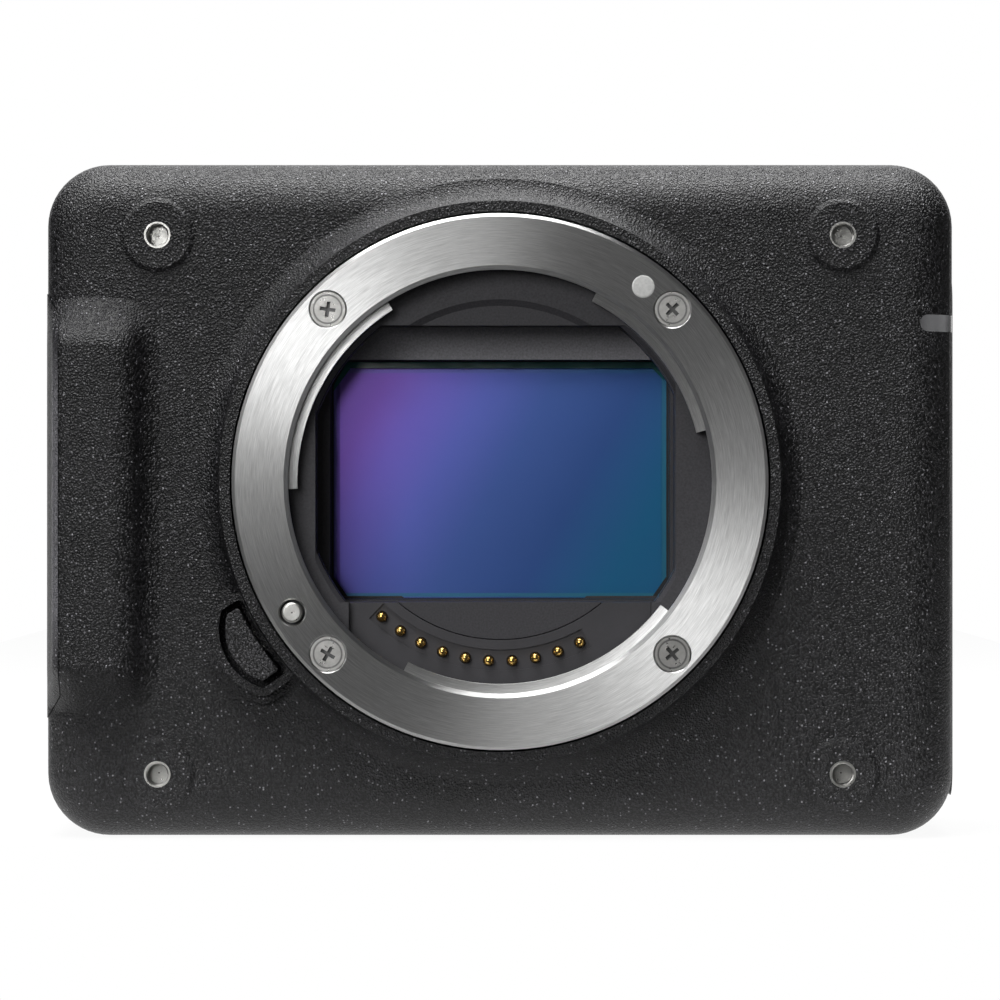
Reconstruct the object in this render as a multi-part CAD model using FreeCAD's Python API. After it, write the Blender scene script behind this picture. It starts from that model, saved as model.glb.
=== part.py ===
import FreeCAD, Part
import math
import os

# Compact interchangeable-lens camera body, modelled in millimetres.
# X runs to the right seen from the front, the lens looks along -Y, Z is up.
# The origin is the middle of the footprint, on the surface that the body stands on.

Vec = FreeCAD.Vector

# How shapes are cut and joined
past = 1.0                    # a cut runs this far past what it cuts
bite = 0.5                    # joined shapes run this far into each other
same = 1e-4                   # lengths this close are the same

# Overall size of the body
body_width = 100.0            # over the two side doors
body_height = 74.0
body_depth = 42.5             # lens flange face to rear face
door_proud = 0.1              # the side doors stand out from the covers by this much
corner_radius = 6.9           # corners of the front outline
front_edge_radius = 5.5
rear_edge_radius = 3.0
cover_wall = 1.6
front_drop = 3.85             # flange face back to the plain front face
rear_cover_depth = 7.5        # rear face forward to the seam between the covers
seam_lip = 0.8                # the rear cover reaches this far into the front cover
optical_rise = 2.0            # lens axis above the middle of the body

# Clearances
fit_gap = 0.05                # a pin running in its hole
press_gap = 0.15              # a key or cap moving in its opening
door_gap = 0.15               # round each side door
assembly_gap = 0.1            # between parts that are screwed together

# Lens mount
ring_outer_radius = 29.2
ring_thickness = 2.2
ring_bevel = 0.35
throat_radius = 23.1
throat_relief = 0.3           # the wall steps back behind the tabs
throat_wall = 0.85
throat_length = 3.0
throat_chamfer = 0.45
tab_height = 1.0              # the tabs reach this far into the throat
tab_depth = 1.6               # flange face back to the front of the bayonet tabs
tab_arcs = [(14.0, 63.0), (122.0, 182.0), (243.0, 322.5)]
mount_screw_radius = 26.5
mount_screw_angles = [45.0, 135.0, 225.0, 315.0]
mount_screw_turns = [45.0, 8.0, 30.0, 50.0]
mount_screw_length = 7.0
mount_screw_sink = 0.1        # head faces below the flange face
mount_hole_edge = 0.15        # chamfer round the holes in the flange face
spring_thickness = 0.25
spring_leaf_step = 0.25       # edge of a tab out to the edge of the leaf behind it
spring_leaf_angle = 26.0
collar_gap = 0.25
collar_drop = 0.65            # flange face back to the top of the moulded collar
collar_land = 1.15
collar_flank = 2.6
collar_draft = 0.3
collar_curve = (0.28, 0.62)   # how far out and how far down the middle of the flank lies
register_distance = 18.0      # flange face back to the sensor surface

# Screws and threads
small_screw_radius = 1.0      # M2
small_head_radius = 1.9
small_head_rim = 0.2          # straight rim of the countersunk head
small_head_depth = 1.0
head_groove_radius = 1.5      # a fine groove round the face of the head
head_groove_width = 0.12
head_groove_depth = 0.08
recess_width = 0.4
recess_length = 1.7
recess_depth = 0.75
m3_bore_radius = 1.25
insert_nose_radius = 1.45
insert_radius = 2.2
insert_nose_length = 1.0
insert_length = 5.5
insert_bore_depth = 4.2
drill_point = 0.7
boss_wall = 1.9
edge_boss_wall = 1.4
boss_back = 0.8               # a boss runs this far past its insert
face_pattern_side = 12.5      # M3 holes of the front and rear from the sides of the body
face_pattern_bottom = 7.0
face_pattern_top = 8.0
edge_pattern_width = 50.0     # the M3 pairs in the top and the bottom
edge_pattern_y = 3.0
pad_proud = 0.3               # the corner pads stand out from the front face
pad_edge = 0.5                # width of a pad's slanted edge
tripod_bore_radius = 2.6
tripod_radius = 4.6
tripod_nose_step = 0.8
tripod_nose_length = 1.0
tripod_length = 6.5
tripod_y = 1.0
cover_screw_inset = 5.5       # from the sides, the top and the bottom of the body
cover_screw_bite = 6.0
cover_screw_sink = 0.3
cover_boss_radius = 2.4
board_screw_radius = 0.8      # M1.6
board_screw_length = 5.0
board_head_radius = 1.5
board_head_height = 0.9

# Grip bulge on the left of the front
grip_height = 3.45
grip_bottom = 13.0
grip_top_gap = 14.2           # top of the body down to the top of the grip
grip_shoulder = 6.0
grip_crest_width = 7.3        # side of the body to the end of the crest
grip_flank_width = 6.2
grip_crest_turn = 1.5         # the crest and the foot turn this far to the side at the grip's ends
grip_foot_turn = 4.0
grip_edge_width = 3.2         # from the side of the body to the start of the crest
grip_edge_radius = 2.2        # the tighter of the two arcs of that edge, at the crest
grip_edge_blend = 0.2         # that arc is this much tighter than the body's edge where the grip fades out
grip_steps = 5
grip_sink = 0.05

# Side doors
door_thickness = 1.85
door_corner = 3.0
door_slant = 2.6              # the ends of a door slant by this much over its thickness
card_door_bottom = 12.8
card_door_top_gap = 14.1      # top of the body down to the top of the door
card_door_front = 0.2         # front of the grip back to the front of the door
terminal_door_bottom = 4.1
terminal_door_top_gap = 12.0
hinge_inset = 4.2             # seam between the covers forward to the hinge pins
hinge_pin_radius = 0.4
hinge_pin_grip = 1.5
hinge_end = 5.0               # end of a door to the end of its knuckle
hinge_relief = 0.85           # hinge pin forward to the cover beside the knuckle

# Lens release
lock_pin_radius = 1.1
lock_pin_distance = 26.7      # lens axis to the pin
lock_angle = 212.2
lock_pin_edge = 0.25
pin_proud = 0.8               # lock pin in front of the flange face
lock_hole_radius = 1.4
button_inner = 31.6
button_start_angle = 205.6
button_end_angle = 220.4
button_lean_angle = 0.35
button_outer_start = 33.1
button_outer_middle = 34.85
button_outer_end = 33.8
button_drop = 1.25            # flange face back to the top of the button
button_height = 3.35
button_pocket = 0.7
button_pocket_depth = 0.4
button_rim = 0.9
button_rim_drop = 1.8
button_foot = 0.7
button_corner = 0.35
button_edge = 0.2
stem_radius = 1.2
stem_distance = 33.0          # lens axis to the stem
stem_angle = 213.0
lock_plate_thickness = 1.0
lock_plate_half = 1.6
lock_spring_radius = 1.2      # to the middle of the wire
lock_spring_wire = 0.16       # radius of the wire
lock_spring_turns = 3

# Light baffle behind the throat, measured from the lens axis
baffle_front = 3.4
baffle_wall = 1.0
sleeve_wall = 1.2
sleeve_radius = 23.6
chassis_bore_radius = 24.0
chamber_left = 20.2
chamber_right = 19.2
chamber_up = 17.1
chamber_down = 13.2
chamber_round = 21.5
chamber_edge = 0.45           # chamfer round the mouth of the chamber
arch_half = 10.0
arch_rise = 2.85
arch_depth = 0.5
arch_slope = 0.7              # width of the arch's slanted wall

# Contact block and its sprung pins
contact_face = 4.6
contact_step = 0.2            # the baffle beside the block lies this far behind its face
contact_half = 16.5
contact_top = 13.25
contact_dip_radius = 17.35
contact_count = 10
contact_ring_radius = 19.65
contact_first_angle = 228.8
contact_pitch_angle = 7.51
contact_pin_radius = 0.55
contact_pin_gap = 0.08
contact_pin_proud = 0.85
contact_travel = 0.7
contact_spare = 0.3           # behind a pin that is pressed all the way
track_inner = 18.4
track_outer = 20.7
track_depth = 0.25
track_end_angle = 2.6

# Focal-plane shutter
shutter_depth = 12.2          # flange face back to the front of the shutter
shutter_total = 4.2
shutter_left = 33.0
shutter_right = 40.0
shutter_half_height = 26.6
shutter_rim = 0.6
plate_thickness = 0.5
partition_thickness = 0.2
aperture_half_width = 18.85
aperture_half_height = 13.3
aperture_lift = 0.25          # its middle above the lens axis
blade_count = 3
blade_thickness = 0.12
blade_pitch = 0.22
blade_height = 11.5
blade_cover = 0.5             # a closed blade reaches this far above the aperture
blade_margin = 1.45           # past the aperture on each side
arm_pivot_x = 38.0
arm_reach = 20.0
arm_width = 2.4
arm_thickness = 0.2
arm_spread = 5.0              # main pivot to auxiliary pivot
pivot_radius = 0.9
rivet_radius = 0.45
rivet_rise = 3.0              # lower rivet above the parked blade's edge
stack_gap = 0.15
shutter_swing = 88.8
motor_radius = 2.9
motor_length = 20.0
motor_inset = 3.5             # right end of the shutter to the motor's axis
motor_gap = 0.4               # motor to the shutter
motor_shaft_radius = 0.5
motor_shaft_length = 3.0
pinion_radius = 1.4
pinion_length = 1.8
saddle_half = 1.8
saddle_inset = 3.0

# Sensor and boards
sensor_frame_half_width = 23.0
sensor_frame_half_height = 18.0
sensor_frame_depth = 16.6
sensor_frame_thickness = 1.5
frame_lip = 0.35
glass_margin = 0.5
glass_thickness = 0.7
die_half_width = 18.1
die_half_height = 12.2
die_thickness = 0.1
package_margin = 2.0
package_thickness = 1.5
board_thickness = 1.0
sensor_board_half_width = 24.0
sensor_board_half_height = 20.0
notch_radius = 1.1
notch_rise = 12.0
spreader_thickness = 1.5
spreader_margin = 0.7         # above and below the posts
spreader_side_gap = 3.2       # to the connector board
rib_height = 1.6
rib_thickness = 1.0
rib_pitch = 5.0
rib_count = 9
rib_first = 5.0               # bottom of the spreader up to the first rib
rib_left = 12.0
rib_right = 30.0
chassis_half_width = 32.5
chassis_edge_gap = 0.2
chassis_thickness = 2.0
chassis_corner = 3.0
post_radius = 1.8
post_left = 30.0
post_right = 30.5
post_rise = 23.75             # above and below the middle of the sensor
main_board_inset = 6.15       # seam between the covers forward to the front of the board
board_wall_gap = 2.5
board_margin = 0.2            # past the posts
card_slot_length = 29.5
card_slot_half_height = 13.5
card_slot_thickness = 3.4
card_half_width = 12.2
card_thickness = 2.3
card_length = 25.0
card_mouth_gap = 0.3
io_board_front_gap = 1.4      # shutter back to the connector board
io_board_bottom = 12.5
io_board_top = 51.0
socket_length = 7.5
socket_mouth = 0.4            # socket mouths behind the floor of the door recess
socket_forward = 2.4          # main board forward to the middle of the sockets
socket_clearance = 0.25
socket_wall = 0.35
socket_back = 1.0
socket_corner_step = 0.05
tongue_recess = 0.7           # tongues and pins end behind the socket mouths
usb_middle = 18.5
usb_width = 9.0
usb_height = 3.3
usb_tongue_width = 6.6
usb_tongue_height = 0.7
hdmi_middle = 30.5
hdmi_width = 6.5
hdmi_height = 2.9
hdmi_corner = 0.7
hdmi_tongue_width = 4.4
hdmi_tongue_height = 0.6
dc_middle = 43.5
dc_radius = 3.4
dc_bore_radius = 2.0
dc_pin_radius = 0.5
# chips on the main board: x and z from the lens axis, width, height, thickness
chips = [(-8, -1, 15, 15, 1.5), (12, 5, 11, 9, 1.1), (12, -10, 11, 9, 1.1), (-26, 11, 8, 8, 0.9),
         (-26, -15, 9, 6, 1.2), (28, -17, 6, 10, 1.4), (30, 13, 5, 5, 0.8)]

# Rear keys
key_radius = 2.4
key_edge = 0.3
key_flange_radius = 3.1
key_flange_thickness = 0.55
key_travel = 0.35
key_drop = 0.15               # key tops below the rear face
key_pocket_depth = 0.7
key_pocket_margin = 2.2
key_pocket_corner = 3.0
key_middle_x = 22.0
key_pitch = 8.4
key_board_depth = 3.0         # rear face in to the key board
key_board_thickness = 0.9
key_board_margin = 2.6
key_board_corner = 1.5
key_dome_radius = 1.4
key_dome_gap = 0.03           # left under a key that is pressed all the way
key_standoff_radius = 1.1

# Status window on the front right edge
window_length = 4.0
window_top_gap = 17.6         # top of the body down to the middle of the window
window_height = 1.86
window_depth = 9.3            # flange face back to its rear end

# Derived frame of the body
optical_height = body_height / 2 + optical_rise
y_flange = pin_proud - (body_depth + pin_proud) / 2
y_front = y_flange + front_drop
y_rear = y_flange + body_depth
y_seam = y_rear - rear_cover_depth
x_side = body_width / 2 - door_proud
y_inner_front = y_front + cover_wall
y_chassis_back = y_inner_front + chassis_thickness
y_shutter = y_flange + shutter_depth
y_shutter_back = y_shutter + shutter_total
y_image = y_flange + register_distance
y_package_back = y_image + die_thickness + package_thickness
y_board_back = y_package_back + board_thickness
y_spreader_back = y_board_back + spreader_thickness
y_main_board = y_seam - main_board_inset
y_hinge = y_seam - hinge_inset
y_socket = y_main_board - socket_forward
y_grip = y_front - grip_height
y_window_back = y_flange + window_depth
x_door_floor = body_width / 2 - door_thickness - fit_gap
x_hinge = body_width / 2 - door_thickness / 2
x_wall_inside = x_door_floor - cover_wall
x_crest_end = x_side - grip_crest_width
x_grip_foot = x_crest_end - grip_flank_width
x_io_board = x_door_floor - socket_mouth - socket_length - board_thickness
z_grip_top = body_height - grip_top_gap
card_door_top = body_height - card_door_top_gap
terminal_door_top = body_height - terminal_door_top_gap
card_middle = (card_door_bottom + card_door_top) / 2
aperture_z = optical_height + aperture_lift
spreader_half_height = post_rise + post_radius + spreader_margin
boss_radius = insert_radius + boss_wall
relief_radius = throat_radius + throat_relief
sleeve_outer = throat_radius + throat_wall
tab_inner_radius = throat_radius - tab_height
spring_leaf_radius = tab_inner_radius + spring_leaf_step
arch_radius = (arch_half ** 2 + arch_rise ** 2) / (2 * arch_rise)


# Basic shapes

def box(x0, x1, y0, y1, z0, z1):
    return Part.makeBox(x1 - x0, y1 - y0, z1 - z0, Vec(x0, y0, z0))


def rod_y(radius, x, z, y0, y1):
    return Part.makeCylinder(radius, y1 - y0, Vec(x, y0, z), Vec(0, 1, 0))


def rod_z(radius, x, y, z0, z1):
    return Part.makeCylinder(radius, z1 - z0, Vec(x, y, z0), Vec(0, 0, 1))


def rod_x(radius, y, z, x0, x1):
    return Part.makeCylinder(radius, x1 - x0, Vec(x0, y, z), Vec(1, 0, 0))


def tube_y(outer, inner, x, z, y0, y1):
    return rod_y(outer, x, z, y0, y1).cut(rod_y(inner, x, z, y0, y1))


def edges_along(shape, axis):
    # straight edges parallel to one axis
    found = []
    for edge in shape.Edges:
        span = edge.BoundBox
        lengths = {"x": span.XLength, "y": span.YLength, "z": span.ZLength}
        others = [value for name, value in lengths.items() if name != axis]
        if lengths[axis] > same and max(others) < same:
            found.append(edge)
    return found


def edges_at_y(shape, y):
    return [e for e in shape.Edges if abs(e.BoundBox.YMin - y) < same and abs(e.BoundBox.YMax - y) < same]


def rounded_slab(x0, x1, z0, z1, radius, y0, y1):
    # a plate facing along Y with rounded outline corners
    slab = box(x0, x1, y0, y1, z0, z1)
    return slab.makeFillet(radius, edges_along(slab, "y"))


def side_block(x0, x1, front, rear, z0, z1, radius):
    # a block facing sideways with rounded front corners
    block = box(x0, x1, front, rear, z0, z1)
    corners = [e for e in edges_along(block, "x") if abs(e.BoundBox.YMin - front) < same]
    return block.makeFillet(radius, corners)


def fuse_all(shapes):
    first, rest = shapes[0], shapes[1:]
    return first.fuse(rest).removeSplitter() if rest else first


def polar(radius, degrees):
    # a point in the front view, round the lens axis
    angle = math.radians(degrees)
    return radius * math.cos(angle), optical_height + radius * math.sin(angle)


def point_on(radius, degrees, y):
    x, z = polar(radius, degrees)
    return Vec(x, y, z)


def sector(inner, outer, start, end, y0, y1):
    # part of a ring round the lens axis between two angles
    corners = [point_on(inner, start, y0), point_on(outer, start, y0),
               point_on(outer, start, y1), point_on(inner, start, y1)]
    face = Part.Face(Part.makePolygon(corners + corners[:1]))
    return face.revolve(Vec(0, 0, optical_height), Vec(0, -1, 0), end - start)


def turned(profile):
    # a closed profile of (radius, y) points turned round the lens axis
    points = [Vec(radius, y, optical_height) for radius, y in profile]
    face = Part.Face(Part.makePolygon(points + points[:1]))
    return face.revolve(Vec(0, 0, optical_height), Vec(0, 1, 0), 360)


def aimed(shape, point, direction):
    # a shape built along +Z from the origin, moved to a point and turned to a direction
    placed = shape.copy()
    placed.Placement = FreeCAD.Placement(point, FreeCAD.Rotation(Vec(0, 0, 1), direction))
    return placed


def save(name, solids):
    shapes = solids if isinstance(solids, list) else [solids]
    found = [solid for shape in shapes for solid in shape.Solids]
    whole = found[0] if len(found) == 1 else Part.Compound(found)
    if not whole.isValid() or not found:
        print("check", name, "valid", whole.isValid(), "solids", len(found))
    whole.exportStep("parts/" + name + ".step")
    print(name, len(found), "solids", round(whole.Volume, 2), "mm3")


# Fasteners, built along +Z with the mouth or the head face at the origin

def cross_recess():
    length, width = recess_length / 2, recess_width / 2
    one = Part.makeBox(2 * length, 2 * width, recess_depth, Vec(-length, -width, 0))
    two = Part.makeBox(2 * width, 2 * length, recess_depth, Vec(-width, -length, 0))
    return one.fuse(two)


def head_groove():
    inner = head_groove_radius - head_groove_width / 2
    outer = Part.makeCylinder(inner + head_groove_width, head_groove_depth)
    return outer.cut(Part.makeCylinder(inner, head_groove_depth))


def countersunk_screw(length, turn=0):
    # turn is how far the recess stands turned, in degrees
    cone_length = small_head_depth - small_head_rim
    head = Part.makeCylinder(small_head_radius, small_head_rim)
    cone = Part.makeCone(small_head_radius, small_screw_radius, cone_length, Vec(0, 0, small_head_rim))
    shank = Part.makeCylinder(small_screw_radius, length - small_head_depth, Vec(0, 0, small_head_depth))
    recess = cross_recess()
    recess.rotate(Vec(0, 0, 0), Vec(0, 0, 1), turn)
    return fuse_all([head, cone, shank]).cut([recess, head_groove()])


def countersunk_hole(length):
    # the hole for such a screw, open past its head face and its end
    wider = small_head_radius + fit_gap
    cone_length = small_head_depth - small_head_rim
    mouth = Part.makeCylinder(wider, past + small_head_rim, Vec(0, 0, -past))
    cone = Part.makeCone(wider, small_screw_radius, cone_length, Vec(0, 0, small_head_rim))
    shank_length = length + past - small_head_depth
    shank = Part.makeCylinder(small_screw_radius, shank_length, Vec(0, 0, small_head_depth))
    return fuse_all([mouth, cone, shank])


def pan_screw():
    head = Part.makeCylinder(board_head_radius, board_head_height, Vec(0, 0, -board_head_height))
    shank = Part.makeCylinder(board_screw_radius, board_screw_length)
    recess = cross_recess()
    recess.translate(Vec(0, 0, -board_head_height))
    return fuse_all([head, shank]).cut(recess)


def thread_insert():
    nose = Part.makeCylinder(insert_nose_radius, insert_nose_length)
    body = Part.makeCylinder(insert_radius, insert_length - insert_nose_length, Vec(0, 0, insert_nose_length))
    bore = Part.makeCylinder(m3_bore_radius, insert_bore_depth)
    point = Part.makeCone(m3_bore_radius, 0, drill_point, Vec(0, 0, insert_bore_depth))
    return fuse_all([nose, body]).cut(fuse_all([bore, point]))


def insert_hole():
    nose = Part.makeCylinder(insert_nose_radius, insert_nose_length + past, Vec(0, 0, -past))
    body = Part.makeCylinder(insert_radius, insert_length - insert_nose_length + boss_back + past,
                             Vec(0, 0, insert_nose_length))
    return fuse_all([nose, body])


# Places of the threads, each with the way into the body

def face_pattern():
    half = body_width / 2 - face_pattern_side
    for x in (-half, half):
        for z in (face_pattern_bottom, body_height - face_pattern_top):
            yield x, z


def front_insert_places():
    return [(Vec(x, y_front - pad_proud, z), Vec(0, 1, 0)) for x, z in face_pattern()]


def rear_insert_places():
    return [(Vec(x, y_rear, z), Vec(0, -1, 0)) for x, z in face_pattern()]


def edge_insert_places():
    half = edge_pattern_width / 2
    bottom = [(Vec(x, edge_pattern_y, 0), Vec(0, 0, 1)) for x in (-half, half)]
    top = [(Vec(x, edge_pattern_y, body_height), Vec(0, 0, -1)) for x in (-half, half)]
    return bottom + top


def cover_screw_places():
    half = body_width / 2 - cover_screw_inset
    for x in (-half, half):
        for z in (cover_screw_inset, body_height - cover_screw_inset):
            yield x, z


def post_places():
    for x in (-post_left, post_right):
        for z in (aperture_z - post_rise, aperture_z + post_rise):
            yield x, z


def post_holes(radius, y0, y1):
    return [rod_y(radius, x, z, y0 - past, y1 + past) for x, z in post_places()]


# Outer form of the front cover

def s_curve(start, end):
    # two equal arcs, level at both ends, from the crest down to the foot
    width, fall = end.x - start.x, end.y - start.y
    radius = (width ** 2 + fall ** 2) / (4 * fall)
    half_turn = math.asin(width / 2 / radius) / 2
    middle = (start + end) * 0.5
    upper = start + Vec(radius * math.sin(half_turn), radius * (1 - math.cos(half_turn)), 0)
    lower = middle * 2 - upper
    return [Part.Arc(start, upper, middle).toShape(), Part.Arc(middle, lower, end).toShape()]


def arc_round(centre, start, end):
    # the short arc between two points round a centre
    radius = (start - centre).Length
    middle = centre + (start + end - centre * 2).normalize() * radius
    return Part.Arc(start, middle, end).toShape()


def grip_edge(start, crest_y, share):
    # a wide arc from the side of the body that runs into a tight one at the crest
    width = front_edge_radius + (grip_edge_width - front_edge_radius) * share
    faded = front_edge_radius - grip_edge_blend
    tight = faded + (grip_edge_radius - faded) * share
    depth = start.y - crest_y
    wide = ((depth - tight) ** 2 + width ** 2 - tight ** 2) / (2 * (width - tight))
    wide_centre = start + Vec(wide, 0, 0)
    tight_centre = Vec(start.x + width, crest_y + tight, start.z)
    join = wide_centre + (tight_centre - wide_centre).normalize() * wide
    end = tight_centre - Vec(0, tight, 0)
    return [arc_round(wide_centre, start, join), arc_round(tight_centre, join, end)], end


def grip_section(z, step):
    # outline of the grip at one height; step runs from 0 at its end to 1 where it has risen
    share = smooth(step)
    turn = 1 - math.sqrt(1 - (1 - step) ** 2)
    crest_y = y_front + grip_sink - (grip_height + grip_sink) * share
    back = y_front + front_edge_radius + past
    left = -x_side + grip_sink
    foot_x = -x_grip_foot - grip_foot_turn * turn
    side_back = Vec(left, back, z)
    side_front = Vec(left, y_front + front_edge_radius, z)
    crest_end = Vec(-x_crest_end - grip_crest_turn * turn, crest_y, z)
    foot = Vec(foot_x, y_front + 2 * grip_sink, z)
    foot_back = Vec(foot_x, back, z)
    edge, crest_start = grip_edge(side_front, crest_y, share)
    edges = [Part.makeLine(side_back, side_front)] + edge
    edges.append(Part.makeLine(crest_start, crest_end))
    edges += s_curve(crest_end, foot)
    edges += [Part.makeLine(foot, foot_back), Part.makeLine(foot_back, side_back)]
    return Part.Wire(edges)


def smooth(share):
    return share * share * (3 - 2 * share)


def grip_bulge():
    steps = [step / grip_steps for step in range(grip_steps + 1)]
    low = [grip_section(grip_bottom + grip_shoulder * s, s) for s in steps]
    high = [grip_section(z_grip_top - grip_shoulder * s, s) for s in reversed(steps)]
    middle = [low[-1], high[0]]
    return [Part.makeLoft(low, True, False), Part.makeLoft(middle, True, True),
            Part.makeLoft(high, True, False)]


def collar():
    # moulded rim round the lens mount ring with a concave flank
    inner = ring_outer_radius + collar_gap
    top = y_flange + collar_drop
    land_end = inner + collar_land
    foot = land_end + collar_flank
    back = y_inner_front + past
    start = Vec(land_end, top, optical_height)
    end = Vec(foot, y_front + grip_sink, optical_height)
    out, down = collar_curve
    middle = Vec(land_end + out * collar_flank, top + down * (end.y - top), optical_height)
    corners = [end, Vec(foot + collar_draft, back, optical_height), Vec(inner, back, optical_height),
               Vec(inner, top, optical_height), start]
    edges = [Part.Arc(start, middle, end).toShape()]
    edges += [Part.makeLine(a, b) for a, b in zip(corners, corners[1:])]
    face = Part.Face(Part.Wire(edges))
    return face.revolve(Vec(0, 0, optical_height), Vec(0, 1, 0), 360)


def button_outline(y, grow):
    # outline of the lens release button, larger by grow
    middle_angle = (button_start_angle + button_end_angle) / 2
    inner_start = point_on(button_inner, button_start_angle, y)
    inner_middle = point_on(button_inner, middle_angle, y)
    inner_end = point_on(button_inner, button_end_angle, y)
    outer_end = point_on(button_outer_end, button_end_angle - button_lean_angle, y)
    outer_middle = point_on(button_outer_middle, middle_angle, y)
    outer_start = point_on(button_outer_start, button_start_angle + button_lean_angle, y)
    wire = Part.Wire([Part.Arc(inner_start, inner_middle, inner_end).toShape(),
                      Part.makeLine(inner_end, outer_end),
                      Part.Arc(outer_end, outer_middle, outer_start).toShape(),
                      Part.makeLine(outer_start, inner_start)])
    return wire.makeOffset2D(grow) if grow else wire


def button_prism(y0, y1, grow):
    return Part.Face(button_outline(y0, grow)).extrude(Vec(0, y1 - y0, 0))


def corner_pad(x, z):
    # a low disc with a slanted edge round a corner thread
    edge = Part.makeCone(boss_radius - pad_edge, boss_radius, pad_proud, Vec(x, y_front - pad_proud, z),
                         Vec(0, 1, 0))
    return edge.fuse(rod_y(boss_radius, x, z, y_front, y_front + cover_wall))


def front_form():
    # the whole outside of the front cover, before the openings are cut
    block = rounded_slab(-x_side, x_side, 0, body_height, corner_radius, y_front, y_seam)
    block = block.makeFillet(front_edge_radius, edges_at_y(block, y_front))
    rim = button_prism(y_flange + button_rim_drop, y_front + bite, button_pocket + button_rim)
    foot = button_prism(y_front - button_foot, y_front + bite, button_pocket + 2 * button_rim)
    pads = [corner_pad(x, z) for x, z in face_pattern()]
    return fuse_all([block] + grip_bulge() + [collar(), rim, foot] + pads)


def front_cavity():
    inset = cover_wall
    room = rounded_slab(-x_side + inset, x_side - inset, inset, body_height - inset,
                        corner_radius - inset, y_inner_front, y_seam)
    room = room.makeFillet(front_edge_radius - inset, edges_at_y(room, y_inner_front))
    rear = y_hinge + door_thickness / 2 + door_gap + inset
    left_floor = box(-x_side, -x_wall_inside, y_front, rear, card_door_bottom - inset, card_door_top + inset)
    right_floor = box(x_wall_inside, x_side, y_front, rear, terminal_door_bottom - inset,
                      terminal_door_top + inset)
    grip_room = box(-x_wall_inside, -x_crest_end, y_grip + inset, y_inner_front + past,
                    grip_bottom + grip_shoulder, z_grip_top - grip_shoulder)
    return room.cut(fuse_all([left_floor, right_floor])).fuse(grip_room)


def between_slants(side, bottom, top, y0, y1):
    # room between the two slanted ends of a side door, wider outwards
    face = body_width / 2
    steps = ((face - door_thickness - past, 1), (face + past, 1), (face + past, -1),
             (face - door_thickness - past, -1))
    corners = []
    for x, way in steps:
        end = bottom if way > 0 else top
        corners.append(Vec(side * x, y0, end + way * door_slant * (face - x) / door_thickness))
    return Part.Face(Part.makePolygon(corners + corners[:1])).extrude(Vec(0, y1 - y0, 0))


def door_recess(side, bottom, top, front):
    # room of a side door, deeper where its knuckle turns
    x0, x1 = sorted((side * x_door_floor, side * (x_side + past)))
    plate_room = side_block(x0, x1, front - door_gap, y_hinge - hinge_relief, bottom - past, top + past,
                            door_corner + door_gap)
    plate_room = plate_room.common(between_slants(side, bottom, top, front - past, y_hinge))
    rear = y_hinge + door_thickness / 2 + door_gap
    knuckle_room = box(x0, x1, y_hinge - hinge_relief - past, rear, bottom + hinge_end, top - hinge_end)
    return fuse_all([plate_room, knuckle_room])


def window_slot():
    # the slot of the status window, round at its left end
    radius = window_height / 2
    middle = body_height - window_top_gap
    left = body_width / 2 - window_length + radius
    bar = box(left, body_width, y_front - past, y_window_back, middle - radius, middle + radius)
    end = rod_y(radius, left, middle, y_front - past, y_window_back)
    return fuse_all([bar, end])


def window_piece(form):
    return form.common(window_slot()).cut(front_cavity())


def bosses_for_edges():
    tubes = []
    for point, way in edge_insert_places():
        tubes.append(aimed(Part.makeCylinder(insert_radius + edge_boss_wall, insert_length + boss_back),
                           point, way))
    tripod = Part.makeCylinder(tripod_radius + boss_wall, tripod_length + boss_back)
    tubes.append(aimed(tripod, Vec(0, tripod_y, 0), Vec(0, 0, 1)))
    return tubes


def card_room_y():
    middle = y_main_board - card_slot_thickness / 2
    return middle - card_thickness / 2, middle + card_thickness / 2


def card_mouth():
    half = card_half_width + card_mouth_gap
    y0, y1 = card_room_y()
    return box(-x_door_floor - past, -x_wall_inside + bite, y0 - assembly_gap, y1 + assembly_gap,
               card_middle - half, card_middle + half)


def socket_windows():
    gap = socket_clearance
    x0, x1 = x_wall_inside - past, x_door_floor + past
    windows = [rod_x(dc_radius + gap, y_socket, dc_middle, x0, x1)]
    flat_ones = ((usb_middle, usb_width, usb_height), (hdmi_middle, hdmi_width, hdmi_height))
    for middle, width, height in flat_ones:
        windows.append(box(x0, x1, y_socket - height / 2 - gap, y_socket + height / 2 + gap,
                           middle - width / 2 - gap, middle + width / 2 + gap))
    return windows


def tripod_hole():
    nose_radius = tripod_radius - tripod_nose_step
    nose = Part.makeCylinder(nose_radius, past + 2 * tripod_nose_length, Vec(0, 0, -past))
    body = Part.makeCylinder(tripod_radius, tripod_length + past, Vec(0, 0, tripod_nose_length))
    return fuse_all([nose, body])


def card_door_front_y():
    return y_grip + card_door_front


def terminal_door_front_y():
    return y_front + front_edge_radius + door_gap


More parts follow.
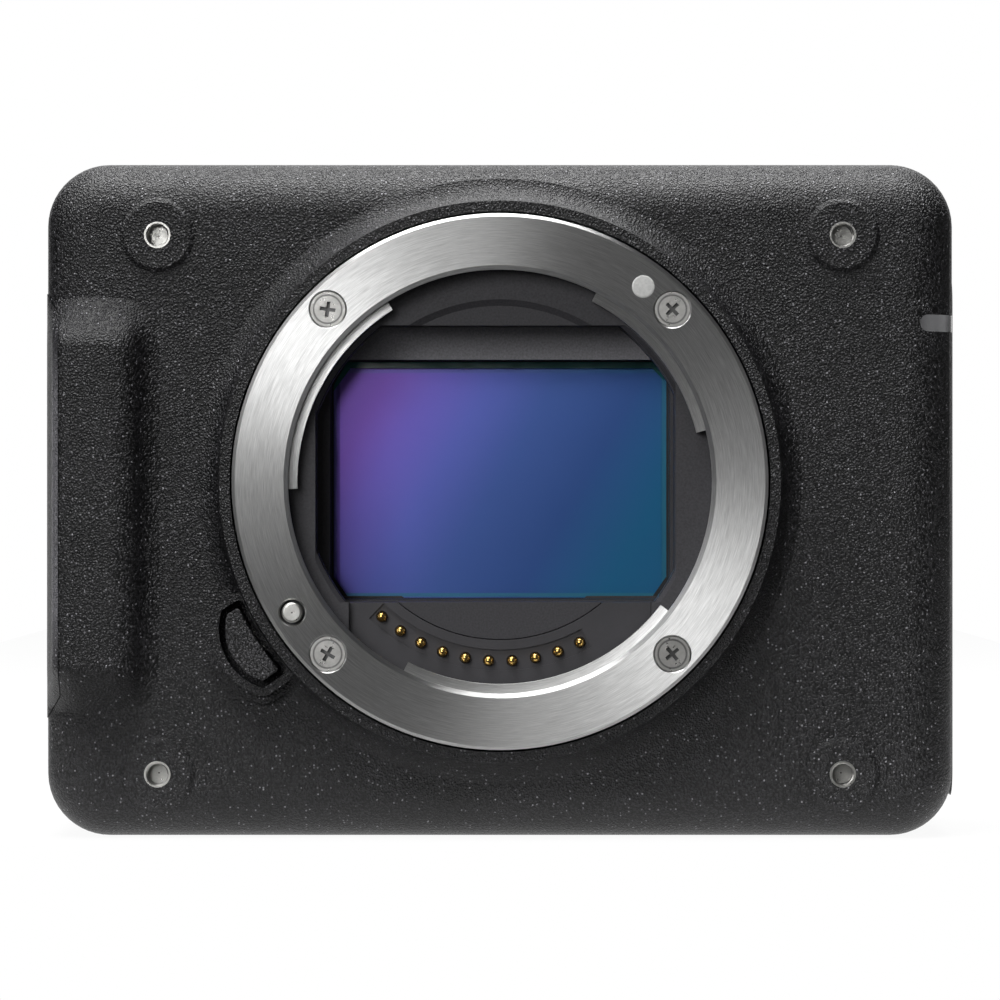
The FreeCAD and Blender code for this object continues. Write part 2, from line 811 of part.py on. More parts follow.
def make_front_cover(form):
    bosses = bosses_for_edges()
    bosses += [rod_y(boss_radius, x, z, y_inner_front - bite, y_front + insert_length + boss_back)
               for x, z in face_pattern()]
    bosses += [rod_y(cover_boss_radius, x, z, y_front + front_edge_radius / 2, y_seam)
               for x, z in cover_screw_places()]
    shell = form.cut(front_cavity())
    shell = shell.fuse(bosses)
    mount_bore = rod_y(ring_outer_radius + collar_gap, 0, optical_height, y_flange - past, y_chassis_back)
    cuts = [mount_bore, window_slot(), card_mouth()]
    cuts.append(door_recess(-1, card_door_bottom, card_door_top, card_door_front_y()))
    cuts.append(door_recess(1, terminal_door_bottom, terminal_door_top, terminal_door_front_y()))
    cuts += socket_windows()
    cuts.append(button_prism(y_flange, y_front + button_pocket_depth, button_pocket))
    cuts.append(button_prism(y_front, y_inner_front + past, press_gap))
    for point, way in front_insert_places() + edge_insert_places():
        cuts.append(aimed(insert_hole(), point, way))
    cuts.append(aimed(tripod_hole(), Vec(0, tripod_y, 0), Vec(0, 0, 1)))
    for x, z in cover_screw_places():
        cuts.append(rod_y(small_screw_radius, x, z, y_seam - cover_screw_bite - bite, y_seam + past))
    cuts += hinge_holes()
    return shell.cut(cuts).removeSplitter()


def hinge_spans():
    # the ends of each hinge pin: side, bottom and top
    inset = hinge_end - hinge_pin_grip
    return [(-1, card_door_bottom + inset, card_door_top - inset),
            (1, terminal_door_bottom + inset, terminal_door_top - inset)]


def hinge_holes():
    return [rod_z(hinge_pin_radius, side * x_hinge, y_hinge, z0, z1) for side, z0, z1 in hinge_spans()]


def make_hinge_pins():
    return hinge_holes()


def make_door(side, form, bottom, top, front):
    # plate with a knuckle along its rear edge, bored for the hinge pin
    low, high = bottom + door_gap, top - door_gap
    inner = body_width / 2 - door_thickness
    x0, x1 = sorted((side * inner, side * body_width / 2))
    # the plate ends where its swing just clears the cover beside the knuckle
    plate_end = y_hinge - math.hypot(x_side - x_hinge, hinge_relief + 2 * fit_gap)
    plate = side_block(x0, x1, front, plate_end, low, high, door_corner)
    plate = plate.common(between_slants(side, low, high, front - past, y_hinge))
    if form is not None:
        plate = form.translated(Vec(-door_proud, 0, 0)).common(plate)
    low, high = low + hinge_end, high - hinge_end
    link = box(x0, x1, plate_end - bite, y_hinge, low, high)
    knuckle = rod_z(door_thickness / 2, side * x_hinge, y_hinge, low, high)
    bore = rod_z(hinge_pin_radius + fit_gap, side * x_hinge, y_hinge, low - past, high + past)
    return fuse_all([plate, link, knuckle]).cut(bore)


# Rear cover and keys

def key_places():
    half = key_pitch / 2
    left, right = key_middle_x - half, key_middle_x + half
    low, high = optical_height - half, optical_height + half
    return {"key_menu": (left, high), "key_up": (right, high),
            "key_set": (left, low), "key_down": (right, low)}


def key_square(half, corner, y0, y1):
    # a rounded plate centred behind the four keys
    return rounded_slab(key_middle_x - half, key_middle_x + half, optical_height - half,
                        optical_height + half, corner, y0, y1)


def key_board_corners():
    half = key_pitch / 2 + key_flange_radius + key_board_margin / 2
    for dx in (-half, half):
        for dz in (-half, half):
            yield key_middle_x + dx, optical_height + dz


def cover_slab(inset, y0, y1):
    # the outline of the covers, set in all round
    return rounded_slab(-x_side + inset, x_side - inset, inset, body_height - inset,
                        corner_radius - inset, y0, y1)


def make_rear_cover():
    block = cover_slab(0, y_seam, y_rear)
    block = block.makeFillet(rear_edge_radius, edges_at_y(block, y_rear))
    room = cover_slab(cover_wall, y_seam, y_rear - cover_wall)
    room = room.makeFillet(rear_edge_radius - cover_wall, edges_at_y(room, y_rear - cover_wall))
    lip = cover_slab(cover_wall + assembly_gap, y_seam - seam_lip, y_seam + cover_wall)
    lip_room = cover_slab(2 * cover_wall, y_seam - seam_lip - past, y_seam + cover_wall + past)
    lip_ring = lip.cut([lip_room] + [rod_y(cover_boss_radius + 3 * assembly_gap, x, z, y_seam - past, y_seam)
                                     for x, z in cover_screw_places()])
    bosses = [rod_y(boss_radius, x, z, y_rear - insert_length - boss_back, y_rear - bite)
              for x, z in face_pattern()]
    bosses += [rod_y(cover_boss_radius, x, z, y_seam, y_rear - bite) for x, z in cover_screw_places()]
    bosses += [rod_y(key_standoff_radius, x, z, y_rear - key_board_depth, y_rear - cover_wall + bite)
               for x, z in key_board_corners()]
    shell = fuse_all([block.cut(room), lip_ring] + bosses)
    cuts = [key_square(key_pitch / 2 + key_radius + key_pocket_margin, key_pocket_corner,
                       y_rear - key_pocket_depth, y_rear + past)]
    for x, z in key_places().values():
        cuts.append(rod_y(key_radius + press_gap, x, z, y_rear - cover_wall - past, y_rear + past))
    for point, way in rear_insert_places():
        cuts.append(aimed(insert_hole(), point, way))
    for x, z in cover_screw_places():
        cuts.append(aimed(countersunk_hole(rear_cover_depth), Vec(x, y_rear - cover_screw_sink, z),
                          Vec(0, -1, 0)))
    return shell.cut(cuts).removeSplitter()


def make_key(x, z):
    top = y_rear - key_drop
    wall_inside = y_rear - cover_wall
    cap = rod_y(key_radius, x, z, wall_inside - key_flange_thickness, top)
    cap = cap.makeFillet(key_edge, edges_at_y(cap, top))
    flange = rod_y(key_flange_radius, x, z, wall_inside - key_flange_thickness, wall_inside)
    return fuse_all([cap, flange])


def make_key_board():
    y1 = y_rear - key_board_depth
    y0 = y1 - key_board_thickness
    plate = key_square(key_pitch / 2 + key_flange_radius + key_board_margin, key_board_corner, y0, y1)
    flange_back = y_rear - cover_wall - key_flange_thickness
    domes = [rod_y(key_dome_radius, x, z, y1 - bite, flange_back - key_travel - key_dome_gap)
             for x, z in key_places().values()]
    return fuse_all([plate] + domes)


# Lens mount

def make_mount_ring():
    outer, inner, y = ring_outer_radius, throat_radius, y_flange
    ring = turned([(inner + throat_chamfer, y), (outer - ring_bevel, y), (outer, y + ring_bevel),
                   (outer, y + ring_thickness), (sleeve_outer, y + ring_thickness),
                   (sleeve_outer, y + throat_length), (relief_radius, y + throat_length),
                   (relief_radius, y + tab_depth), (inner, y + tab_depth), (inner, y + throat_chamfer)])
    tab_root = (relief_radius + sleeve_outer) / 2
    tabs = [sector(tab_inner_radius, tab_root, start, end, y + tab_depth, y + throat_length)
            for start, end in tab_arcs]
    ring = fuse_all([ring] + tabs)
    holes = []
    for point in mount_screw_places():
        holes.append(aimed(countersunk_hole(mount_screw_length), point, Vec(0, 1, 0)))
        holes.append(hole_chamfer(small_head_radius + fit_gap, point.x, point.z))
    x, z = polar(lock_pin_distance, lock_angle)
    holes.append(rod_y(lock_hole_radius, x, z, y - past, y + ring_thickness + past))
    holes.append(hole_chamfer(lock_hole_radius, x, z))
    return ring.cut(holes)


def hole_chamfer(radius, x, z):
    # the chamfer of a hole in the flange face, open past it
    depth = past + mount_hole_edge
    return Part.makeCone(radius + depth, radius, depth, Vec(x, y_flange - past, z), Vec(0, 1, 0))


def mount_screw_places():
    return [point_on(mount_screw_radius, angle, y_flange + mount_screw_sink) for angle in mount_screw_angles]


def make_mount_screws():
    return [aimed(countersunk_screw(mount_screw_length, turn), point, Vec(0, 1, 0))
            for point, turn in zip(mount_screw_places(), mount_screw_turns)]


def make_bayonet_spring():
    # flat spring ring behind the sleeve with a leaf behind each bayonet tab
    y0 = y_flange + throat_length
    y1 = y0 + spring_thickness
    inner = relief_radius + fit_gap
    leaves = []
    for start, end in tab_arcs:
        middle = (start + end) / 2
        leaves.append(sector(spring_leaf_radius, (inner + sleeve_outer) / 2, middle - spring_leaf_angle / 2,
                             middle + spring_leaf_angle / 2, y0, y1))
    return fuse_all([tube_y(sleeve_outer, inner, 0, optical_height, y0, y1)] + leaves)


def make_chassis():
    y0, y1 = y_inner_front, y_chassis_back
    ring_back = y_flange + ring_thickness
    edge = front_edge_radius + chassis_edge_gap
    plate = rounded_slab(-chassis_half_width, chassis_half_width, edge, body_height - edge,
                         chassis_corner, y0, y1)
    seat = rod_y(ring_outer_radius, 0, optical_height, ring_back, y1)
    posts = [rod_y(post_radius, x, z, y1 - bite, y_main_board) for x, z in post_places()]
    body = fuse_all([plate, seat] + posts)
    cuts = [rod_y(chassis_bore_radius, 0, optical_height, ring_back - past, y1 + past)]
    for angle in mount_screw_angles:
        x, z = polar(mount_screw_radius, angle)
        cuts.append(rod_y(small_screw_radius, x, z, ring_back - past, y1 + past))
    x, z = polar(lock_pin_distance, lock_angle)
    cuts.append(rod_y(lock_pin_radius + fit_gap, x, z, ring_back - past, y1 + past))
    cuts.append(button_prism(y0 - past, y1 + past, press_gap + assembly_gap))
    cuts += [rod_y(boss_radius + assembly_gap, x, z, y0 - past, y1 + past) for x, z in face_pattern()]
    cuts += [rod_y(board_screw_radius, x, z, y_main_board - board_screw_length, y_main_board + past)
             for x, z in post_places()]
    return body.cut(cuts)


# Lens release

def make_lock_pin():
    x, z = polar(lock_pin_distance, lock_angle)
    pin = rod_y(lock_pin_radius, x, z, y_flange - pin_proud, y_chassis_back)
    return pin.makeFillet(lock_pin_edge, edges_at_y(pin, y_flange - pin_proud))


def make_lock_plate():
    # bar from the pin to the button's stem, behind the chassis
    y0, y1 = y_chassis_back, y_chassis_back + lock_plate_thickness
    start = point_on(lock_pin_distance, lock_angle, y0)
    end = point_on(stem_distance, stem_angle, y0)
    half = lock_plate_half
    along = (end - start).normalize()
    side = Vec(-along.z, 0, along.x) * half
    corners = [start + side, end + side, end - side, start - side]
    bar = Part.Face(Part.makePolygon(corners + corners[:1])).extrude(Vec(0, lock_plate_thickness, 0))
    ends = [rod_y(half, point.x, point.z, y0, y1) for point in (start, end)]
    return fuse_all([bar] + ends)


def tangent_arcs(start, leave, end, arrive):
    # two arcs that meet smoothly, from one point and heading to another
    span, sum_of_ways = end - start, leave + arrive
    spare = 4 - sum_of_ways.dot(sum_of_ways)
    across = span.dot(sum_of_ways)
    reach = (math.sqrt(across ** 2 + spare * span.dot(span)) - across) / spare
    first, second = start + leave * reach, end - arrive * reach
    join = (first + second) * 0.5
    arcs = []
    for a, corner, b in ((start, first, join), (join, second, end)):
        chord_middle = (a + b) * 0.5
        lean = (b - a).Length / 2 / reach
        arcs.append(Part.Arc(a, chord_middle + (corner - chord_middle) * (lean / (1 + lean)), b).toShape())
    return arcs


def coil(radius, wire, length, turns):
    # a wire coiled up the Z axis, its path in quarter turns of tangent arcs
    pitch = length / turns
    rise = pitch / (2 * math.pi * radius)

    def place(turn):
        angle = 2 * math.pi * turn
        return Vec(radius * math.cos(angle), radius * math.sin(angle), pitch * turn)

    def heading(turn):
        angle = 2 * math.pi * turn
        return Vec(-math.sin(angle), math.cos(angle), rise).normalize()

    edges = []
    for quarter in range(4 * turns):
        a, b = quarter / 4, (quarter + 1) / 4
        edges += tangent_arcs(place(a), heading(a), place(b), heading(b))
    section = Part.Wire(Part.makeCircle(wire, place(0), heading(0)))
    print("coil, gap between turns", round(pitch - 2 * wire, 3), "mm")
    return Part.Wire(edges).makePipeShell([section], True, False)


def make_lock_spring():
    # compression spring between the lock plate and the front of the shutter
    start = y_chassis_back + lock_plate_thickness + lock_spring_wire
    length = y_shutter - lock_spring_wire - start
    x, z = polar(stem_distance, stem_angle)
    return aimed(coil(lock_spring_radius, lock_spring_wire, length, lock_spring_turns), Vec(x, start, z),
                 Vec(0, 1, 0))


def make_release_button():
    y0 = y_flange + button_drop
    cap = button_prism(y0, y0 + button_height, 0)
    cap = cap.makeFillet(button_corner, edges_along(cap, "y"))
    cap = cap.makeFillet(button_edge, edges_at_y(cap, y0))
    x, z = polar(stem_distance, stem_angle)
    stem = rod_y(stem_radius, x, z, y0 + button_height - bite, y_chassis_back)
    return fuse_all([cap, stem])


# Light baffle and contact block

def chamber_rect(grow, y0, y1):
    return box(-chamber_left - grow, chamber_right + grow, y0, y1,
               optical_height - chamber_down - grow, optical_height + chamber_up + grow)


def make_light_baffle():
    y0 = y_flange + baffle_front
    y1 = y_chassis_back
    y2 = y_shutter
    outer = sleeve_radius + baffle_wall
    sleeve = tube_y(sleeve_radius, sleeve_radius - sleeve_wall, 0, optical_height, y0, y1 + baffle_wall)
    front = rod_y(sleeve_radius, 0, optical_height, y0, y0 + baffle_wall)
    flange = rod_y(outer, 0, optical_height, y1, y1 + baffle_wall)
    walls = chamber_rect(baffle_wall, y1, y2).common(rod_y(outer, 0, optical_height, y1, y2))
    solid = fuse_all([sleeve, front, flange, walls])
    chamber = chamber_rect(0, y0 - past, y2 - baffle_wall).common(
        rod_y(chamber_round, 0, optical_height, y0 - past, y2 - baffle_wall))
    mouth = Part.makeCone(chamber_round + chamber_edge + past, chamber_round, chamber_edge + past,
                          Vec(0, y0 - past, optical_height), Vec(0, 1, 0))
    mouth = mouth.common(chamber_rect(0, y0 - past, y0 + chamber_edge))
    aperture = aperture_cut(y2 - baffle_wall - past, y2 + past)
    solid = solid.cut([chamber, mouth, aperture, arch_recess(y0), contact_region(y0 - past, y1, fit_gap)])
    # below the sensor opening the front steps back, and a tongue fills the dip of the contact block
    face = y_flange + contact_face + contact_step
    low, high = optical_height - throat_radius, optical_height - chamber_down
    step_back = box(-contact_half, contact_half, y0 - past, face, low - past, high)
    dip = rod_y(contact_dip_radius - 2 * fit_gap, 0, optical_height, face, y1 + bite)
    below = box(-contact_half, contact_half, y0, y1 + bite, low, high)
    return fuse_all([solid.cut(step_back), dip.common(below)])


def arch_recess(face):
    # shallow arched recess above the chamber, its wall slanted
    foot_z = optical_height + chamber_up
    middle = Vec(0, face - past, foot_z + arch_rise - arch_radius)
    slant = arch_slope / arch_depth
    cone = Part.makeCone(arch_radius + slant * past, arch_radius - arch_slope, past + arch_depth, middle,
                         Vec(0, 1, 0))
    return cone.common(box(-arch_radius, arch_radius, face - past, face + arch_depth, foot_z - bite,
                           foot_z + arch_rise + past))


def contact_region(y0, y1, grow):
    # the room of the contact block under the sensor opening
    half = contact_half + grow
    top = optical_height - contact_top + grow
    band = box(-half, half, y0, y1, optical_height - sleeve_radius - past, top)
    band = band.common(rod_y(sleeve_radius, 0, optical_height, y0, y1))
    return band.cut(rod_y(contact_dip_radius - grow, 0, optical_height, y0, y1))


def contact_angles():
    return [contact_first_angle + contact_pitch_angle * k for k in range(contact_count)]


def make_contact_block():
    y0 = y_flange + contact_face
    block = contact_region(y0, y_chassis_back, 0)
    angles = contact_angles()
    cuts = [sector(track_inner, track_outer, angles[0] - track_end_angle, angles[-1] + track_end_angle,
                   y0 - past, y0 + track_depth)]
    for angle in angles:
        x, z = polar(contact_ring_radius, angle)
        cuts.append(rod_y(contact_pin_radius + contact_pin_gap, x, z, y0 - past, y_chassis_back + past))
    return block.cut(cuts)


def make_contact_pin(angle):
    x, z = polar(contact_ring_radius, angle)
    tip = y_flange + contact_face - contact_pin_proud
    radius = contact_pin_radius
    shank = rod_y(radius, x, z, tip + radius, y_chassis_back - contact_travel - contact_spare)
    dome = Part.makeSphere(radius, Vec(x, tip + radius, z))
    return fuse_all([shank, dome])


# Shutter

def aperture_cut(y0, y1):
    return box(-aperture_half_width, aperture_half_width, y0, y1,
               aperture_z - aperture_half_height, aperture_z + aperture_half_height)


def shutter_plate(y0, y1):
    plate = box(-shutter_left, shutter_right, y0, y1, aperture_z - shutter_half_height,
                aperture_z + shutter_half_height)
    return plate.cut([aperture_cut(y0 - past, y1 + past)] + post_holes(post_radius + assembly_gap, y0, y1))


def shutter_frame(y0, y1):
    # narrow wall along the top, the bottom and the left that spaces the plates
    low, high = aperture_z - shutter_half_height, aperture_z + shutter_half_height
    bottom = box(-shutter_left, shutter_right, y0, y1, low, low + shutter_rim)
    top = box(-shutter_left, shutter_right, y0, y1, high - shutter_rim, high)
    side = box(-shutter_left, -shutter_left + shutter_rim, y0, y1, low, high)
    return fuse_all([bottom, top, side])


def blade_span():
    # travel of the leading blade from parked to across the aperture
    return 2 * arm_reach * math.sin(math.radians(shutter_swing / 2))


def parked_edge():
    # lower edge of the first curtain's parked blades
    return aperture_z + aperture_half_height + blade_cover - blade_height - blade_span()


def pivot_height(curtain, auxiliary):
    # the first curtain parks below the aperture and the second parks above it
    main = parked_edge() + rivet_rise + blade_span() / 2
    height = main + (arm_spread if auxiliary else 0)
    return height if curtain == "first" else 2 * aperture_z - height


def pivot_places():
    return [(arm_pivot_x, pivot_height(curtain, auxiliary))
            for curtain in ("first", "second") for auxiliary in (False, True)]


def curtain_room(curtain):
    # front and back of the gap that each curtain runs in
    middle = y_shutter + shutter_total / 2
    if curtain == "second":
        return y_shutter + plate_thickness, middle - partition_thickness / 2
    return middle + partition_thickness / 2, y_shutter_back - plate_thickness


def blade_layer(curtain, number):
    # y of the front of one blade; the arms lie on the outer side of each stack
    front, back = curtain_room(curtain)
    step = stack_gap + arm_thickness + stack_gap + (number - 1) * blade_pitch
    return front + step if curtain == "second" else back - step - blade_thickness


def arm_layer(curtain):
    front, back = curtain_room(curtain)
    return front + stack_gap if curtain == "second" else back - stack_gap - arm_thickness


def rivet_place(curtain, number, auxiliary):
    # a rivet's place on its parked arm
    angle = math.radians(shutter_swing / 2)
    reach = arm_reach * (blade_count + 1 - number) / blade_count
    rise = -math.sin(angle) if curtain == "first" else math.sin(angle)
    return arm_pivot_x - reach * math.cos(angle), pivot_height(curtain, auxiliary) + reach * rise


def make_arm(curtain, auxiliary):
    y0 = arm_layer(curtain)
    y1 = y0 + arm_thickness
    start_x, start_z = arm_pivot_x, pivot_height(curtain, auxiliary)
    end_x, end_z = rivet_place(curtain, 1, auxiliary)
    start, end = Vec(start_x, y0, start_z), Vec(end_x, y0, end_z)
    along = (end - start).normalize()
    side = Vec(-along.z, 0, along.x) * (arm_width / 2)
    corners = [start + side, end + side, end - side, start - side]
    bar = Part.Face(Part.makePolygon(corners + corners[:1])).extrude(Vec(0, arm_thickness, 0))
    ends = [rod_y(arm_width / 2, x, z, y0, y1) for x, z in ((start_x, start_z), (end_x, end_z))]
    holes = [rod_y(pivot_radius + fit_gap, start_x, start_z, y0 - past, y1 + past)]
    for number in range(1, blade_count + 1):
        x, z = rivet_place(curtain, number, auxiliary)
        holes.append(rod_y(rivet_radius + fit_gap, x, z, y0 - past, y1 + past))
    return fuse_all([bar] + ends).cut(holes)


def make_blade(curtain, number):
    y0 = blade_layer(curtain, number)
    y1 = y0 + blade_thickness
    low = parked_edge() if curtain == "first" else 2 * aperture_z - parked_edge() - blade_height
    high = low + blade_height
    edge = aperture_half_width + blade_margin
    sheet = box(-edge, edge, y0, y1, low, high)
    rivets = [rivet_place(curtain, number, auxiliary) for auxiliary in (False, True)]
    lug = arm_width / 2
    tail_end = rivets[0][0] + lug
    heights = [z for x, z in rivets]
    corners = [Vec(edge - past, y0, low), Vec(edge, y0, low), Vec(tail_end, y0, min(heights) - lug),
               Vec(tail_end, y0, max(heights) + lug), Vec(edge, y0, high), Vec(edge - past, y0, high)]
    tail = Part.Face(Part.makePolygon(corners + corners[:1])).extrude(Vec(0, blade_thickness, 0))
    arm_y = arm_layer(curtain)
    rivet_y = sorted((arm_y if curtain == "second" else arm_y + arm_thickness, y0 + blade_thickness / 2))
    posts = [rod_y(rivet_radius, x, z, rivet_y[0], rivet_y[1]) for x, z in rivets]
    return fuse_all([sheet, tail] + posts)


def make_shutter_base():
    y0, y1 = y_shutter_back - plate_thickness, y_shutter_back
    pins = [rod_y(pivot_radius, x, z, y_shutter + plate_thickness, y1) for x, z in pivot_places()]
    rim = shutter_frame(curtain_room("first")[0], y0)
    return fuse_all([shutter_plate(y0, y1), rim] + pins)


def make_shutter_cover():
    rim = shutter_frame(y_shutter + plate_thickness, curtain_room("second")[1])
    return fuse_all([shutter_plate(y_shutter, y_shutter + plate_thickness), rim])


def make_shutter_partition():
    y0 = curtain_room("second")[1]
    y1 = y0 + partition_thickness
    holes = [rod_y(pivot_radius + fit_gap, x, z, y0 - past, y1 + past) for x, z in pivot_places()]
    return shutter_plate(y0, y1).cut(holes)


def make_shutter_motor():
    # motor on a saddle on the front of the shutter, with its pinion on top
    x, y = shutter_right - motor_inset, y_shutter - motor_gap - motor_radius
    low = optical_height - motor_length / 2
    high = low + motor_length
    can = rod_z(motor_radius, x, y, low, high)
    shaft = rod_z(motor_shaft_radius, x, y, high - bite, high + motor_shaft_length)
    pinion_low = high + (motor_shaft_length - pinion_length) / 2
    pinion = rod_z(pinion_radius, x, y, pinion_low, pinion_low + pinion_length)
    saddle = box(x - saddle_half, x + saddle_half, y, y_shutter, low + saddle_inset, high - saddle_inset)
    return fuse_all([can, shaft, pinion, saddle])


# Sensor stack

def centred_plate(half_width, half_height, y0, y1):
    return box(-half_width, half_width, y0, y1, aperture_z - half_height, aperture_z + half_height)


def make_sensor_frame():
    y0 = y_flange + sensor_frame_depth
    y1 = y0 + sensor_frame_thickness
    frame = centred_plate(sensor_frame_half_width, sensor_frame_half_height, y0, y1)
    seat = centred_plate(aperture_half_width + glass_margin, aperture_half_height + glass_margin,
                         y0 + frame_lip, y1 + past)
    return frame.cut([aperture_cut(y0 - past, y1 + past), seat])


def make_sensor_glass():
    y0 = y_flange + sensor_frame_depth + frame_lip
    return centred_plate(aperture_half_width + glass_margin, aperture_half_height + glass_margin,
                         y0, y0 + glass_thickness)


def make_image_sensor():
    die = centred_plate(die_half_width, die_half_height, y_image, y_image + die_thickness + bite)
    package = centred_plate(sensor_frame_half_width - package_margin,
                            sensor_frame_half_height - package_margin,
                            y_image + die_thickness, y_package_back)
    return fuse_all([die, package])


def make_sensor_board():
    board = centred_plate(sensor_board_half_width, sensor_board_half_height, y_package_back, y_board_back)
    notches = [rod_y(notch_radius, x, aperture_z + z, y_package_back - past, y_board_back + past)
               for x in (-sensor_board_half_width, sensor_board_half_width)
               for z in (-notch_rise, notch_rise)]
    return board.cut(notches)


def make_heat_spreader():
    # the card slot lies behind its left end, and the spreader leaves room for it
    low = aperture_z - spreader_half_height
    plate = box(-shutter_left, x_io_board - spreader_side_gap, y_board_back, y_spreader_back, low,
                aperture_z + spreader_half_height)
    half = rib_thickness / 2
    ribs = []
    for number in range(rib_count):
        z = low + rib_first + number * rib_pitch
        ribs.append(box(-rib_left, rib_right, y_board_back, y_spreader_back + rib_height, z - half, z + half))
    cuts = post_holes(post_radius + fit_gap, y_board_back, y_spreader_back)
    return fuse_all([plate] + ribs).cut(cuts + [card_slot_block(assembly_gap)])


# Boards and connectors

def make_main_board():
    y0 = y_main_board
    y1 = y0 + board_thickness
    half = post_rise + post_radius + board_margin
    board = box(-x_wall_inside + board_wall_gap, x_io_board, y0, y1, aperture_z - half, aperture_z + half)
    parts = [box(x - w / 2, x + w / 2, y0, y1 + t, optical_height + z - h / 2, optical_height + z + h / 2)
             for x, z, w, h, t in chips]
    cuts = post_holes(board_screw_radius + fit_gap, y0, y1)
    cuts += [rod_y(cover_boss_radius + assembly_gap, x, z, y0 - past, y1 + past)
             for x, z in cover_screw_places()]
    return fuse_all([board] + parts).cut(cuts)


def make_board_screws():
    return [aimed(pan_screw(), Vec(x, y_main_board + board_thickness, z), Vec(0, -1, 0))
            for x, z in post_places()]


def card_slot_block(grow):
    # the outside of the card slot, larger by grow
    half = card_slot_half_height + grow
    front = y_main_board - card_slot_thickness
    return box(-x_wall_inside - grow, -x_wall_inside + card_slot_length + grow, front - grow,
               y_main_board + grow, card_middle - half, card_middle + half)


def make_card_slot():
    room_y0, room_y1 = card_room_y()
    room = box(-x_wall_inside - past, -x_wall_inside + card_length, room_y0, room_y1,
               card_middle - card_half_width, card_middle + card_half_width)
    return card_slot_block(0).cut(room)


def make_io_board():
    return box(x_io_board, x_io_board + board_thickness, y_shutter_back + io_board_front_gap,
               y_main_board + board_thickness, io_board_bottom, io_board_top)


def socket_span():
    start = x_io_board + board_thickness
    return start, start + socket_length


def socket_bar(width, height, middle, x0, x1, radius):
    bar = box(x0, x1, y_socket - height / 2, y_socket + height / 2, middle - width / 2, middle + width / 2)
    return bar.makeFillet(radius, edges_along(bar, "x"))


def flat_socket(width, height, middle, corner, tongue_width, tongue_height):
    # a metal shell with a tongue inside
    x0, x1 = socket_span()
    wall = socket_wall
    shell = socket_bar(width, height, middle, x0, x1, corner)
    hollow = socket_bar(width - 2 * wall, height - 2 * wall, middle, x0 + socket_back, x1 + past,
                        corner - wall)
    tongue = box(x0 + bite, x1 - tongue_recess, y_socket - tongue_height / 2, y_socket + tongue_height / 2,
                 middle - tongue_width / 2, middle + tongue_width / 2)
    return fuse_all([shell.cut(hollow), tongue])


def make_usb_socket():
    corner = usb_height / 2 - socket_corner_step
    return flat_socket(usb_width, usb_height, usb_middle, corner, usb_tongue_width, usb_tongue_height)


def make_hdmi_socket():
    return flat_socket(hdmi_width, hdmi_height, hdmi_middle, hdmi_corner, hdmi_tongue_width,
                       hdmi_tongue_height)


def make_dc_socket():
    x0, x1 = socket_span()
    body = rod_x(dc_radius, y_socket, dc_middle, x0, x1)
    bore = rod_x(dc_bore_radius, y_socket, dc_middle, x0 + socket_back, x1 + past)
    pin = rod_x(dc_pin_radius, y_socket, dc_middle, x0 + bite, x1 - tongue_recess)
    return fuse_all([body.cut(bore), pin])


# Threads and screws in the covers

def make_thread_inserts():
    places = front_insert_places() + rear_insert_places() + edge_insert_places()
    return [aimed(thread_insert(), point, way) for point, way in places]


def make_tripod_socket():
    nose = Part.makeCylinder(tripod_radius - tripod_nose_step, tripod_nose_length)
    body = Part.makeCylinder(tripod_radius, tripod_length - tripod_nose_length, Vec(0, 0, tripod_nose_length))
    bore = Part.makeCylinder(tripod_bore_radius, tripod_length - tripod_nose_length)
    return aimed(fuse_all([nose, body]).cut(bore), Vec(0, tripod_y, 0), Vec(0, 0, 1))


def make_cover_screws():
    length = rear_cover_depth - cover_screw_sink + cover_screw_bite
    return [aimed(countersunk_screw(length), Vec(x, y_rear - cover_screw_sink, z), Vec(0, -1, 0))
            for x, z in cover_screw_places()]


def main():
    os.makedirs("parts", exist_ok=True)
    form = front_form()
    save("front_cover", make_front_cover(form))
    save("status_window", window_piece(form))
    save("card_door", make_door(-1, form, card_door_bottom, card_door_top, card_door_front_y()))
    save("terminal_door", make_door(1, None, terminal_door_bottom, terminal_door_top,
                                    terminal_door_front_y()))
    save("door_hinge_pins", make_hinge_pins())
    save("rear_cover", make_rear_cover())
    for name, (x, z) in key_places().items():
        save(name, make_key(x, z))
    save("key_board", make_key_board())
    save("lens_mount_ring", make_mount_ring())
    save("mount_screws", make_mount_screws())
    save("bayonet_spring", make_bayonet_spring())
    save("chassis", make_chassis())
    save("lock_pin", make_lock_pin())
    save("lock_plate", make_lock_plate())
    save("lens_release_button", make_release_button())
    save("lock_spring", make_lock_spring())
    save("light_baffle", make_light_baffle())
    save("contact_block", make_contact_block())
    for number, angle in enumerate(contact_angles(), start=1):
        save("contact_pin_%02d" % number, make_contact_pin(angle))
    save("shutter_cover", make_shutter_cover())
    save("shutter_partition", make_shutter_partition())
    save("shutter_base", make_shutter_base())
    for curtain in ("first", "second"):
        save(curtain + "_curtain_main_arm", make_arm(curtain, False))
        save(curtain + "_curtain_aux_arm", make_arm(curtain, True))
        for number in range(1, blade_count + 1):
            save("%s_curtain_blade_%d" % (curtain, number), make_blade(curtain, number))
    save("shutter_motor", make_shutter_motor())
    save("sensor_frame", make_sensor_frame())
    save("sensor_glass", make_sensor_glass())
    save("image_sensor", make_image_sensor())
    save("sensor_board", make_sensor_board())
    save("heat_spreader", make_heat_spreader())
    save("main_board", make_main_board())
    save("board_screws", make_board_screws())
    save("card_slot", make_card_slot())
    save("io_board", make_io_board())
    save("usb_socket", make_usb_socket())
    save("hdmi_socket", make_hdmi_socket())
    save("dc_socket", make_dc_socket())
    save("thread_inserts", make_thread_inserts())
    save("tripod_socket", make_tripod_socket())
    save("cover_screws", make_cover_screws())


main()
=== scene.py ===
import math

